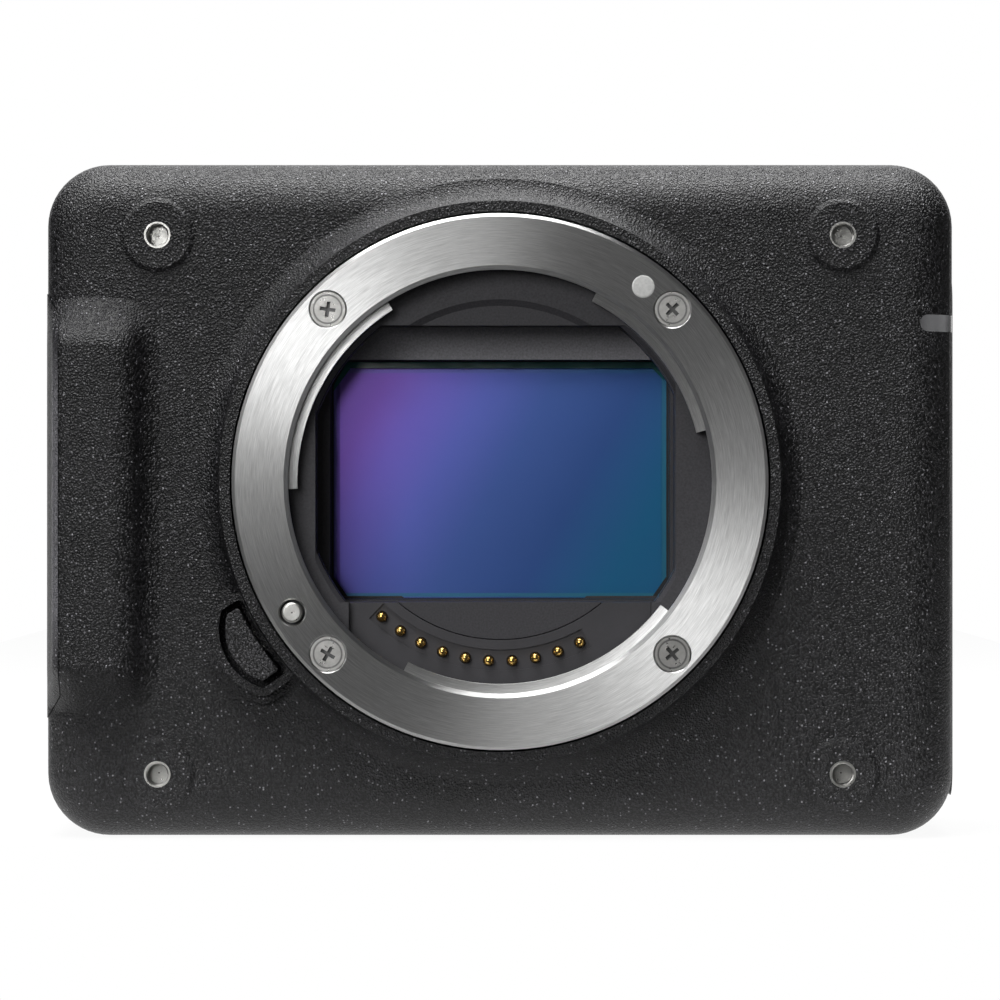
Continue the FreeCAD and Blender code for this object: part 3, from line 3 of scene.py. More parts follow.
import bmesh
import bpy
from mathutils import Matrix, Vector


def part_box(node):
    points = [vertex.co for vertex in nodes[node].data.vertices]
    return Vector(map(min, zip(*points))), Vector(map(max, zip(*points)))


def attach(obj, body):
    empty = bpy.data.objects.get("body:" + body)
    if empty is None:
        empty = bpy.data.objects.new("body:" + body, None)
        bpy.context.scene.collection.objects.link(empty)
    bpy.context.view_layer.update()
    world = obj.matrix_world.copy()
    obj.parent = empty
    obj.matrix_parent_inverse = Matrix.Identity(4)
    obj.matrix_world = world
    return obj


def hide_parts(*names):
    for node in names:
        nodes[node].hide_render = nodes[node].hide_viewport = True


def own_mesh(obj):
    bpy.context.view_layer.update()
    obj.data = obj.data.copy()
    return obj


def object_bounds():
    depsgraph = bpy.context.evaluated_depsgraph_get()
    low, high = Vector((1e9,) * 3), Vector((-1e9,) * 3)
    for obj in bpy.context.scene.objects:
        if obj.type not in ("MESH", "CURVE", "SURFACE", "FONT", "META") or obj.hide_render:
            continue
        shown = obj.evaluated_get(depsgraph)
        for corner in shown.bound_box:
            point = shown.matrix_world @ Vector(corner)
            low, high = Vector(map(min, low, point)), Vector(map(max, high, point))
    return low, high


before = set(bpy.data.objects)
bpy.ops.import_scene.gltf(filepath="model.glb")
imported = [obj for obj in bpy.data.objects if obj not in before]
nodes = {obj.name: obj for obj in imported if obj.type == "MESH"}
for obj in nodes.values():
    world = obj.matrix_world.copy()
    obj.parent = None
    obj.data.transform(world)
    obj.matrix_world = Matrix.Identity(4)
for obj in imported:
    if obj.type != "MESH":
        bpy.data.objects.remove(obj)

mm = 0.001
cadBox = [list(corner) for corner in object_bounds()]


def middleOf(name):
    low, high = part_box(name)
    return (low + high) / 2


bodyLow, bodyHigh = (Vector(corner) for corner in cadBox)
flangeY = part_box("lens_mount_ring")[0].y
lensZ = middleOf("lens_mount_ring").z
print("frame loaded,", len(nodes), "nodes")


# Node helpers

def treeNode(tree, kind, inputs=None, **settings):
    # a node with its settings, and a value or a link for each input named
    made = tree.nodes.new(kind)
    for name, value in settings.items():
        setattr(made, name, value)
    for name, value in (inputs or {}).items():
        if isinstance(value, bpy.types.NodeSocket):
            tree.links.new(value, made.inputs[name])
        else:
            made.inputs[name].default_value = value
    return made


def shaderNode(tree, kind, inputs=None, **settings):
    return treeNode(tree, "ShaderNode" + kind, inputs, **settings)


def calculate(tree, operation, first, second=0.0):
    return shaderNode(tree, "Math", {0: first, 1: second}, operation=operation).outputs[0]


def add(tree, first, second):
    return calculate(tree, "ADD", first, second)


def multiply(tree, first, second):
    return calculate(tree, "MULTIPLY", first, second)


def spread(tree, value, fromLow, fromHigh, toLow=0.0, toHigh=1.0):
    inputs = {"Value": value, "From Min": fromLow, "From Max": fromHigh, "To Min": toLow, "To Max": toHigh}
    return shaderNode(tree, "MapRange", inputs).outputs[0]


def overLumps(tree, lumps, low=0.0, high=1.0):
    # noise keeps near its middle, so that part of it is spread from low to high
    return spread(tree, lumps, 0.3, 0.7, low, high)


def separate(tree, vector):
    return shaderNode(tree, "SeparateXYZ", {0: vector}).outputs


def vectorMath(tree, operation, *vectors):
    return shaderNode(tree, "VectorMath", dict(enumerate(vectors)), operation=operation).outputs[0]


def mixColors(tree, factor, first, second):
    return shaderNode(tree, "Mix", {0: factor, 6: first, 7: second}, data_type="RGBA").outputs[2]


def colorSteps(tree, factor, stops):
    ramp = shaderNode(tree, "ValToRGB", {"Fac": factor})
    while len(ramp.color_ramp.elements) < len(stops):
        ramp.color_ramp.elements.new(0.5)
    for element, (place, color) in zip(ramp.color_ramp.elements, stops):
        element.position = place
        element.color = color
    return ramp.outputs[0]


def noise(tree, place, size, detail=3.0, roughness=0.55):
    # size is the width of one lump
    inputs = {"Vector": place, "Scale": 1 / size, "Detail": detail, "Roughness": roughness}
    return shaderNode(tree, "TexNoise", inputs).outputs[0]


def cells(tree, place, size, feature="F1"):
    return shaderNode(tree, "TexVoronoi", {"Vector": place, "Scale": 1 / size}, feature=feature).outputs


def tone(red, green, blue):
    # a colour as it looks on screen, 0 to 255, for a shader socket
    def straight(value):
        value /= 255
        return value / 12.92 if value <= 0.04045 else ((value + 0.055) / 1.055) ** 2.4
    return (straight(red), straight(green), straight(blue), 1)


def darker(color, share):
    return tuple(channel * share for channel in color[:3]) + (1,)


def startMaterial(name, **sockets):
    # a new material with its constant values on the shader's own sockets
    material = bpy.data.materials.new(name)
    material.use_nodes = True
    tree = material.node_tree
    surface = tree.nodes["Principled BSDF"]
    for label, value in sockets.items():
        surface.inputs[label.replace("_", " ")].default_value = value
    place = tree.nodes.new("ShaderNodeTexCoord").outputs["Object"]
    return material, tree, surface, place


def link(tree, surface, **sources):
    for label, source in sources.items():
        tree.links.new(source, surface.inputs[label.replace("_", " ")])


def setBump(tree, surface, height, distance):
    bump = shaderNode(tree, "Bump", {"Height": height, "Distance": distance, "Strength": 1.0})
    link(tree, surface, Normal=bump.outputs[0])


def give(material, *names):
    for name in names:
        slots = nodes[name].data.materials
        slots.clear()
        slots.append(material)


# Grained paint of the covers, the doors and the release button

grainPaint = {"grain": 0.27 * mm, "fine": 0.14 * mm, "warp": 0.1 * mm, "height": 0.11 * mm,
              "lumpEdge": 0.62, "lumpTop": 0.2, "lumpShare": 0.75, "pitLow": 0.55, "pitHigh": 0.95,
              "speckPitch": 0.46 * mm, "speckSize": 0.28, "speckShare": 0.34, "speckHeight": 0.7,
              "patch": 9 * mm, "pitShade": tone(2, 2, 3), "dark": tone(30, 30, 32), "light": tone(44, 43, 46),
              "speckGlint": tone(160, 159, 164), "roughness": 0.37, "gloss": 0.12}
buttonPaint = {**grainPaint, "grain": 0.25 * mm, "dark": tone(56, 56, 58), "light": tone(72, 71, 74),
               "speckShare": 0.2}
doorEdge = {"depth": 2.2 * mm, "height": 0.35, "gloss": 0.12, "stripLeft": -48.95 * mm,
            "stripRight": -48.05 * mm, "stripLow": 21 * mm, "stripHigh": 52 * mm, "soft": 0.1 * mm,
            "fade": 4 * mm, "share": 0.55, "highlightFrom": 0.3, "highlightTo": 0.6}


def doorHighlightStrip(tree, parts, edge):
    # 1 in an upright strip along the front of the left door, fading out at its ends, where a highlight is
    # painted
    left, right, soft, fade = edge["stripLeft"], edge["stripRight"], edge["soft"], edge["fade"]
    fromLeft = spread(tree, parts["X"], left, left + soft)
    fromRight = spread(tree, parts["X"], right, right - soft)
    low = spread(tree, parts["Z"], edge["stripLow"] - fade, edge["stripLow"] + fade)
    high = spread(tree, parts["Z"], edge["stripHigh"] + fade, edge["stripHigh"] - fade, 0, edge["share"])
    return multiply(tree, multiply(tree, fromLeft, fromRight), multiply(tree, low, high))


def makeGrainPaint(name, sizes, edge=None):
    # lumps with painted shade in the pits between them, and scattered specks painted light as glints;
    # with an edge, the paint is smoother along the front, and a painted highlight lightens its grain in a
    # strip
    material, tree, surface, place = startMaterial(name, Specular_IOR_Level=0.45)
    warp = sizes["warp"]
    wobble = shaderNode(tree, "TexNoise", {"Vector": place, "Scale": 1 / (3 * warp)}).outputs["Color"]
    moved = vectorMath(tree, "MULTIPLY_ADD", wobble, (warp, warp, warp), place)
    lumps = cells(tree, moved, sizes["grain"])["Distance"]
    fine = noise(tree, place, sizes["fine"], detail=2)
    specks = cells(tree, moved, sizes["speckPitch"])
    chance = shaderNode(tree, "SeparateColor", {"Color": specks["Color"]}).outputs[0]
    chosen = spread(tree, chance, 1 - sizes["speckShare"], 1)
    near = spread(tree, specks["Distance"], sizes["speckSize"], sizes["speckSize"] / 2)
    speckGlint = multiply(tree, calculate(tree, "SQRT", chosen), near)
    top = spread(tree, lumps, sizes["lumpEdge"], sizes["lumpTop"])
    height = add(tree, multiply(tree, top, sizes["lumpShare"]), fine)
    height = add(tree, height, multiply(tree, speckGlint, sizes["speckHeight"]))
    patches = noise(tree, place, sizes["patch"])
    base = mixColors(tree, overLumps(tree, patches), sizes["dark"], sizes["light"])
    # painted shade: the pits between the lumps are painted near black
    raised = spread(tree, add(tree, top, fine), sizes["pitLow"], sizes["pitHigh"])
    base = mixColors(tree, raised, sizes["pitShade"], base)
    smoother = 0.0
    if edge:
        parts = separate(tree, place)
        # painted highlight: the grain in the strip is painted light, like the specks
        paintedHighlight = spread(tree, fine, edge["highlightFrom"], edge["highlightTo"])
        paintedHighlight = multiply(tree, doorHighlightStrip(tree, parts, edge), paintedHighlight)
        speckGlint = calculate(tree, "MAXIMUM", speckGlint, paintedHighlight)
        front = spread(tree, parts["Y"], bodyLow.y + edge["depth"] * 2, bodyLow.y + edge["depth"])
        height = multiply(tree, height, spread(tree, front, 0, 1, 1, edge["height"]))
        smoother = multiply(tree, front, edge["gloss"])
    rough = spread(tree, speckGlint, 0, 1, sizes["roughness"], sizes["roughness"] - sizes["gloss"])
    # painted glints: the chosen specks are painted light in the colour, and glossier
    link(tree, surface, Base_Color=mixColors(tree, speckGlint, base, sizes["speckGlint"]),
         Roughness=calculate(tree, "SUBTRACT", rough, smoother))
    setBump(tree, surface, height, sizes["height"])
    return material


# Metals

ringMetal = {"line": 0.085 * mm, "streak": 0.09, "broadLine": 1.1 * mm, "lineHeight": 0.0016 * mm,
             "lineShare": 0.8, "broadShare": 0.2, "dull": tone(170, 170, 170), "bright": tone(214, 214, 213),
             "lineDetail": 0.65, "lineRange": (0.25, 0.75), "roughDull": 0.44, "roughBright": 0.34}
turnedSteel = {"ring": 0.11 * mm, "ringShare": 0.35, "lump": 0.5 * mm, "height": 0.0022 * mm, "worn": 0.84,
               "smooth": 0.26, "rough": 0.4, "spot": 0.12 * mm, "spotTone": tone(60, 60, 60),
               "sunk": 0.05 * mm, "deep": 0.3 * mm, "recess": (1.35 * mm, 1.25 * mm),
               "grooveInside": (1.4 * mm, 1.48 * mm), "grooveOutside": (1.68 * mm, 1.58 * mm),
               "grooveShare": 0.8, "paintedShadeTone": tone(100, 100, 100)}
plainMetal = {"worn": 0.72, "smoother": 0.07, "rougher": 0.1, "height": 0.004 * mm}


def roundPlace(tree, place, centre):
    # place across an axis along Y: x, z and the distance from the axis
    parts = separate(tree, vectorMath(tree, "ADD", place, tuple(-v for v in centre)))
    x, z = parts["X"], parts["Z"]
    return x, z, calculate(tree, "SQRT", add(tree, multiply(tree, x, x), multiply(tree, z, z)))


def makeRingMetal():
    # steel brushed in circles round the lens axis
    sizes = ringMetal
    material, tree, surface, place = startMaterial("ringMetal", Metallic=1.0, Anisotropic=0.92,
                                                   Anisotropic_Rotation=0.25)
    x, z, radius = roundPlace(tree, place, (0, 0, lensZ))
    streak = multiply(tree, radius, sizes["streak"])
    turned = {"X": calculate(tree, "DIVIDE", x, streak), "Y": calculate(tree, "DIVIDE", z, streak),
              "Z": calculate(tree, "DIVIDE", radius, sizes["line"])}
    lines = shaderNode(tree, "CombineXYZ", turned).outputs[0]
    brushing = noise(tree, lines, 1.0, roughness=sizes["lineDetail"])
    broad = noise(tree, calculate(tree, "DIVIDE", radius, sizes["broadLine"]), 1.0)
    shade = add(tree, multiply(tree, brushing, sizes["lineShare"]),
                multiply(tree, broad, sizes["broadShare"]))
    rough = spread(tree, brushing, *sizes["lineRange"], sizes["roughDull"], sizes["roughBright"])
    tangent = shaderNode(tree, "Tangent", direction_type="RADIAL", axis="Y")
    link(tree, surface, Base_Color=mixColors(tree, overLumps(tree, shade), sizes["dull"], sizes["bright"]),
         Roughness=rough, Tangent=tangent.outputs[0])
    setBump(tree, surface, brushing, sizes["lineHeight"])
    return material


def makeTurnedSteel(name, color, centre, mirrorZ=None, face=None):
    # steel with lathe marks round the axis of each screw or pin. With mirrorZ, the pieces stand in
    # mirrored places round that height. With the place of its face, the recess and the groove of a
    # screw's head are darkened with painted shade
    sizes = turnedSteel
    material, tree, surface, place = startMaterial(name, Metallic=1.0)
    depth = separate(tree, place)["Y"]
    if mirrorZ is not None:
        place = vectorMath(tree, "ABSOLUTE", vectorMath(tree, "ADD", place, (0, 0, -mirrorZ)))
    radius = roundPlace(tree, place, centre)[2]
    wave = calculate(tree, "SINE", multiply(tree, radius, math.tau / sizes["ring"]))
    lumps = noise(tree, place, sizes["lump"])
    shade = mixColors(tree, overLumps(tree, lumps), color, darker(color, sizes["worn"]))
    spot = spread(tree, radius, sizes["spot"], sizes["spot"] / 2)
    shade = mixColors(tree, spot, shade, sizes["spotTone"])
    if face is not None:
        # painted shade: the cross recess and the groove round the head are painted darker
        recess = multiply(tree, spread(tree, depth, face + sizes["sunk"], face + sizes["deep"]),
                          spread(tree, radius, *sizes["recess"]))
        groove = multiply(tree, spread(tree, radius, *sizes["grooveInside"]),
                          spread(tree, radius, *sizes["grooveOutside"], 0, sizes["grooveShare"]))
        shade = mixColors(tree, calculate(tree, "MAXIMUM", recess, groove), shade, sizes["paintedShadeTone"])
    link(tree, surface, Base_Color=shade, Roughness=overLumps(tree, lumps, sizes["smooth"], sizes["rough"]))
    setBump(tree, surface, add(tree, multiply(tree, wave, sizes["ringShare"]), lumps), sizes["height"])
    return material


def makeMetal(name, color, roughness, grain, height=plainMetal["height"]):
    sizes = plainMetal
    material, tree, surface, place = startMaterial(name, Metallic=1.0)
    lumps = noise(tree, place, grain, detail=4)
    rough = overLumps(tree, lumps, roughness - sizes["smoother"], roughness + sizes["rougher"])
    shade = mixColors(tree, overLumps(tree, lumps), darker(color, sizes["worn"]), color)
    link(tree, surface, Base_Color=shade, Roughness=rough)
    setBump(tree, surface, lumps, height)
    return material


# Plastics and boards

plainPlastic = {"worn": 0.7, "patches": 25, "shadeRange": (0.35, 0.65), "smoother": 0.06, "rougher": 0.08}
framePlasticTone = tone(30, 30, 33)
baffle = {"grain": 0.22 * mm, "color": tone(62, 61, 65), "plate": tone(138, 137, 142), "depth": -10 * mm,
          "plateLow": 51.8 * mm, "soft": 0.5 * mm, "lumpShare": 0.4, "smooth": 0.54, "rough": 0.68,
          "lumpHeight": 0.012 * mm}
circuitBoard = {"cell": 2.7 * mm, "repeats": 3, "gap": 0.3, "mask": tone(18, 72, 44),
                "copper": tone(34, 104, 62), "lump": 0.3 * mm, "smooth": 0.32, "rough": 0.45,
                "height": 0.01 * mm}


def makePlastic(name, color, roughness, grain, height):
    sizes = plainPlastic
    material, tree, surface, place = startMaterial(name)
    lumps = noise(tree, place, grain)
    shade = multiply(tree, add(tree, lumps, noise(tree, place, grain * sizes["patches"])), 0.5)
    rough = overLumps(tree, lumps, roughness - sizes["smoother"], roughness + sizes["rougher"])
    shade = mixColors(tree, spread(tree, shade, *sizes["shadeRange"]), darker(color, sizes["worn"]), color)
    link(tree, surface, Base_Color=shade, Roughness=rough)
    setBump(tree, surface, lumps, height)
    return material


def makeBaffle():
    # the flat plate above the window is painted lighter than the rest of the baffle, as painted light where
    # the top of the lens mount shades it
    sizes = baffle
    material, tree, surface, place = startMaterial("bafflePlastic")
    lumps = noise(tree, place, sizes["grain"])
    parts = separate(tree, place)
    # painted light: deep in and high up, the plate above the window is painted lighter
    deep = spread(tree, parts["Y"], sizes["depth"] - sizes["soft"], sizes["depth"])
    above = spread(tree, parts["Z"], sizes["plateLow"], sizes["plateLow"] + sizes["soft"])
    color = mixColors(tree, multiply(tree, deep, above), sizes["color"], sizes["plate"])
    color = mixColors(tree, overLumps(tree, lumps, 0, sizes["lumpShare"]), color, framePlasticTone)
    link(tree, surface, Base_Color=color,
         Roughness=overLumps(tree, lumps, sizes["smooth"], sizes["rough"]))
    setBump(tree, surface, lumps, sizes["lumpHeight"])
    return material


def makeBoard():
    sizes = circuitBoard
    material, tree, surface, place = startMaterial("boardGreen", Coat_Weight=0.3, Coat_Roughness=0.2)
    crossed = cells(tree, place, sizes["cell"], feature="DISTANCE_TO_EDGE")["Distance"]
    tracks = calculate(tree, "PINGPONG", multiply(tree, crossed, sizes["repeats"]), 0.5)
    line = calculate(tree, "GREATER_THAN", tracks, sizes["gap"])
    lumps = noise(tree, place, sizes["lump"])
    link(tree, surface, Base_Color=mixColors(tree, line, sizes["mask"], sizes["copper"]),
         Roughness=overLumps(tree, lumps, sizes["smooth"], sizes["rough"]))
    setBump(tree, surface, add(tree, line, lumps), sizes["height"])
    return material


# Face of the sensor, its filter glass and the smoked window; each band has its width and its share

sensorFace = {"halfWidth": 18.85 * mm, "halfHeight": 13.3 * mm, "slantX": 0.5, "slantZ": -0.2,
              "across": [(0.0, tone(172, 124, 255)), (0.12, tone(150, 130, 255)), (0.3, tone(118, 132, 240)),
                         (0.5, tone(86, 124, 212)), (0.75, tone(62, 112, 192)), (1.0, tone(18, 138, 192))],
              "lavender": tone(150, 144, 240), "deepViolet": tone(104, 76, 190), "lake": tone(60, 132, 186),
              "teal": tone(60, 158, 172), "topLightBand": (1.25 * mm, 0.62), "darkBand": (0.85 * mm, 0.8),
              "leftLightBand": (0.45 * mm, 0.75), "rightBand": (0.65 * mm, 0.55), "bottomBand": (0.55 * mm, 0.7),
              "bottomGap": 0.16 * mm, "soft": 0.12 * mm, "edgeRange": (-0.8, 0.7), "lowLight": 0.9,
              "highLight": 1.05,
              "row": 0.12 * mm, "rowHeight": 0.0003 * mm}
clearGlass = {"lump": 6 * mm, "color": tone(90, 96, 150), "tint": tone(60, 66, 110)}
windowPlastic = {"lump": 0.5 * mm, "lumpShare": 0.15, "height": 0.005 * mm,
                 "steps": [(0.0, tone(96, 96, 98)), (0.55, tone(150, 150, 152)), (0.8, tone(186, 186, 188)),
                           (1.0, tone(128, 128, 130))]}


def makeSensorFace():
    # thin-film colours that run from violet to teal, painted as a reflection, with a lighter strip along each
    # edge; the violet end and the strips at the top and the left are also painted light where the throat
    # shades the face
    sizes = sensorFace
    material, tree, surface, place = startMaterial("sensorFace", Metallic=0.5, Roughness=0.3,
                                                   Coat_Weight=0.3, Coat_Roughness=0.05)

    def band(distance, label):
        width, share = sizes[label]
        return spread(tree, distance, width + sizes["soft"], width, 0, share)

    parts = separate(tree, place)
    half, tall, middle = sizes["halfWidth"], sizes["halfHeight"], middleOf("image_sensor").z
    u = spread(tree, parts["X"], -half, half, -1, 1)
    v = spread(tree, parts["Z"], middle - tall, middle + tall, -1, 1)
    slant = add(tree, multiply(tree, u, sizes["slantX"]), multiply(tree, v, sizes["slantZ"]))
    # painted reflection: thin-film colours across the face, lighter at the violet end as painted light
    color = colorSteps(tree, add(tree, slant, 0.5), sizes["across"])
    fromLeft = add(tree, parts["X"], half)
    fromRight = calculate(tree, "SUBTRACT", half, parts["X"])
    fromTop = calculate(tree, "SUBTRACT", middle + tall, parts["Z"])
    fromBottom = calculate(tree, "SUBTRACT", parts["Z"], middle - tall)
    topLightTone = mixColors(tree, spread(tree, u, *sizes["edgeRange"]), sizes["lavender"], sizes["lake"])
    # painted light: lighter strips along the top and the left, where the throat shades the face
    color = mixColors(tree, band(fromTop, "topLightBand"), color, topLightTone)
    color = mixColors(tree, band(fromLeft, "darkBand"), color, sizes["deepViolet"])
    color = mixColors(tree, band(fromLeft, "leftLightBand"), color, sizes["lavender"])
    color = mixColors(tree, band(fromRight, "rightBand"), color, sizes["teal"])
    aboveGap = spread(tree, fromBottom, sizes["bottomGap"], sizes["bottomGap"] + sizes["soft"])
    color = mixColors(tree, multiply(tree, aboveGap, band(fromBottom, "bottomBand")), color, sizes["teal"])
    # painted light: the face is painted darker towards the bottom and lighter towards the top
    fade = shaderNode(tree, "VectorMath", {0: color}, operation="SCALE")
    tree.links.new(spread(tree, v, -1, 1, sizes["lowLight"], sizes["highLight"]), fade.inputs["Scale"])
    link(tree, surface, Base_Color=fade.outputs[0])
    rows = shaderNode(tree, "TexWave", {"Vector": place, "Scale": 1 / (sizes["row"] * math.tau)},
                      bands_direction="Z")
    setBump(tree, surface, rows.outputs[0], sizes["rowHeight"])
    return material


def makeFilterGlass():
    sizes = clearGlass
    material, tree, surface, place = startMaterial("filterGlass", Alpha=0.1, Roughness=0.02)
    lumps = noise(tree, place, sizes["lump"])
    link(tree, surface, Base_Color=mixColors(tree, lumps, sizes["color"], sizes["tint"]))
    return material


def makeWindow():
    # smoked plastic, lighter towards the side of the body
    sizes = windowPlastic
    material, tree, surface, place = startMaterial("smokedWindow", Roughness=0.22, Coat_Weight=0.6,
                                                   Coat_Roughness=0.08)
    low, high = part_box("status_window")
    lumps = noise(tree, place, sizes["lump"])
    side = spread(tree, separate(tree, place)["X"], low.x, high.x)
    share = add(tree, side, multiply(tree, lumps, sizes["lumpShare"]))
    link(tree, surface, Base_Color=colorSteps(tree, share, sizes["steps"]))
    setBump(tree, surface, lumps, sizes["height"])
    return material


mountScrews = {"reach": 18.74 * mm}
facePattern = {"halfX": 37.5 * mm, "lowZ": 7 * mm, "highZ": 66 * mm}
edgePattern = {"halfX": 25 * mm, "y": 3 * mm}


coverPaint = makeGrainPaint("grainPaint", grainPaint)
doorPaint = makeGrainPaint("doorPaint", grainPaint, doorEdge)
capPaint = makeGrainPaint("buttonPaint", buttonPaint)
mountMetal = makeRingMetal()
screwSteel = makeTurnedSteel("mountScrewSteel", tone(196, 195, 192),
                             (mountScrews["reach"], 0, mountScrews["reach"]), mirrorZ=lensZ,
                             face=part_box("mount_screws")[0].y)
insertSteel = makeTurnedSteel("insertSteel", tone(205, 204, 200),
                              (facePattern["halfX"], 0, (facePattern["highZ"] - facePattern["lowZ"]) / 2),
                              mirrorZ=(facePattern["highZ"] + facePattern["lowZ"]) / 2)
pinSteel = makeTurnedSteel("lockPinSteel", tone(214, 213, 209), middleOf("lock_pin"))
plainSteel = makeMetal("plainSteel", tone(176, 175, 172), 0.34, 0.5 * mm)
blackScrew = makeMetal("blackScrew", tone(38, 38, 40), 0.42, 0.3 * mm)
gold = makeMetal("contactGold", tone(222, 182, 106), 0.2, 0.25 * mm, 0.001 * mm)
castMetal = makeMetal("castMetal", tone(120, 120, 122), 0.55, 0.6 * mm, 0.02 * mm)
spreaderMetal = makeMetal("spreaderMetal", tone(190, 190, 190), 0.36, 0.2 * mm)
bafflePlastic = makeBaffle()
contactPlastic = makePlastic("contactPlastic", tone(62, 61, 65), 0.55, 0.2 * mm, 0.006 * mm)
# light grey for the painted highlight along the edge above the sensor window
highlightPlastic = makePlastic("highlightPlastic", tone(150, 149, 152), 0.4, 0.2 * mm, 0.004 * mm)
bevelGreen = makePlastic("bevelGreen", tone(12, 108, 106), 0.16, 1.5 * mm, 0.002 * mm)
framePlastic = makePlastic("framePlastic", framePlasticTone, 0.6, 0.25 * mm, 0.01 * mm)
shutterBlack = makePlastic("shutterBlack", tone(44, 44, 46), 0.5, 0.15 * mm, 0.006 * mm)
keyPlastic = makePlastic("keyPlastic", tone(40, 40, 42), 0.48, 0.3 * mm, 0.012 * mm)
socketPlastic = makePlastic("socketPlastic", tone(26, 26, 28), 0.5, 0.2 * mm, 0.005 * mm)
indexPaint = makePlastic("indexPaint", tone(216, 216, 214), 0.4, 0.3 * mm, 0.004 * mm)
legendPaint = makePlastic("legendPaint", tone(190, 190, 190), 0.5, 0.3 * mm, 0.004 * mm)
board = makeBoard()
sensorColors = makeSensorFace()
filterGlass = makeFilterGlass()
smokedWindow = makeWindow()

curtainNodes = [name for name in nodes if "curtain" in name]
pinNodes = [name for name in nodes if name.startswith("contact_pin")]
keyNodes = ["key_menu", "key_up", "key_set", "key_down"]
give(coverPaint, "front_cover", "rear_cover")
give(capPaint, "lens_release_button")
give(doorPaint, "card_door", "terminal_door")
give(mountMetal, "lens_mount_ring")
give(screwSteel, "mount_screws")
give(insertSteel, "thread_inserts")
give(pinSteel, "lock_pin")
give(plainSteel, "tripod_socket", "door_hinge_pins", "board_screws", "bayonet_spring", "lock_spring",
     "lock_plate", "shutter_motor", "card_slot", "usb_socket", "hdmi_socket")
give(blackScrew, "cover_screws")
give(gold, *pinNodes)
give(castMetal, "chassis")
give(spreaderMetal, "heat_spreader")
give(bafflePlastic, "light_baffle")
give(contactPlastic, "contact_block")
give(framePlastic, "sensor_frame")
give(shutterBlack, "shutter_cover", "shutter_partition", "shutter_base", *curtainNodes)
give(keyPlastic, *keyNodes)
give(socketPlastic, "dc_socket")
give(board, "main_board", "sensor_board", "io_board", "key_board")
give(sensorColors, "image_sensor")
give(filterGlass, "sensor_glass")
give(smokedWindow, "status_window")
print("finishes made")


# Mesh helpers

def makePiece(name, mesh, material, body, smoothAngle=40):
    piece = bpy.data.objects.new(name, mesh)
    bpy.context.scene.collection.objects.link(piece)
    mesh.materials.clear()
    mesh.materials.append(material)
    mesh.shade_smooth()
    mesh.set_sharp_from_angle(angle=math.radians(smoothAngle))
    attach(piece, body)
    return piece


def turnedMesh(name, profile, centre, steps):
    # a closed profile of (radius, y) turned round an axis along Y through centre
    shape = bmesh.new()
    rings = []
    for radius, y in profile:
        if radius == 0:
            rings.append([shape.verts.new((centre.x, y, centre.z))])
            continue
        turn = [math.tau * step / steps for step in range(steps)]
        rings.append([shape.verts.new((centre.x + radius * math.cos(a), y, centre.z + radius * math.sin(a)))
                      for a in turn])
    for first, second in zip(rings, rings[1:]):
        for step in range(steps):
            following = (step + 1) % steps
            corners = [first[step % len(first)], first[following % len(first)],
                       second[following % len(second)], second[step % len(second)]]
            shape.faces.new(list(dict.fromkeys(corners)))
    bmesh.ops.recalc_face_normals(shape, faces=shape.faces)
    mesh = bpy.data.meshes.new(name)
    shape.to_mesh(mesh)
    shape.free()
    return mesh


def plateMesh(name, outline, front, back, hole=None):
    # an outline of (x, z) points, facing -Y, with an optional hole of as many points
    shape = bmesh.new()
    loops = [outline] + ([hole] if hole else [])
    rings = [[[shape.verts.new((x, y, z)) for x, z in loop] for y in (front, back)] for loop in loops]
    count = len(outline)
    for ring in rings:
        for step in range(count):
            following = (step + 1) % count
            shape.faces.new([ring[0][step], ring[0][following], ring[1][following], ring[1][step]])
    for side in (0, 1):
        if hole:
            for step in range(count):
                following = (step + 1) % count
                shape.faces.new([rings[0][side][step], rings[0][side][following],
                                 rings[1][side][following], rings[1][side][step]])
        else:
            shape.faces.new(rings[0][side])
    bmesh.ops.recalc_face_normals(shape, faces=shape.faces)
    mesh = bpy.data.meshes.new(name)
    shape.to_mesh(mesh)
    shape.free()
    return mesh


def polar(radius, degrees):
    angle = math.radians(degrees)
    return Vector((radius * math.cos(angle), 0, lensZ + radius * math.sin(angle)))


# White index dot on the lens mount

indexDot = {"radius": 1.25 * mm, "distance": 26.3 * mm, "angle": 53.7, "rise": 0.04 * mm, "sunk": 0.01 * mm,
            "flat": 0.8, "shoulder": 0.95, "shoulderDrop": 0.012 * mm, "steps": 48}


def makeIndexDot():
    sizes = indexDot
    top, foot, radius = flangeY - sizes["rise"], flangeY + sizes["sunk"], sizes["radius"]
    profile = [(0, top), (radius * sizes["flat"], top),
               (radius * sizes["shoulder"], top + sizes["shoulderDrop"]), (radius, foot), (0, foot)]
    mesh = turnedMesh("mountIndexDot", profile, polar(sizes["distance"], sizes["angle"]), sizes["steps"])
    makePiece("mountIndexDot", mesh, indexPaint, "camera_body", 60)


makeIndexDot()


# Black mask with cut corners in front of the filter glass,
# and the ground edge of the glass, which shows green along the top

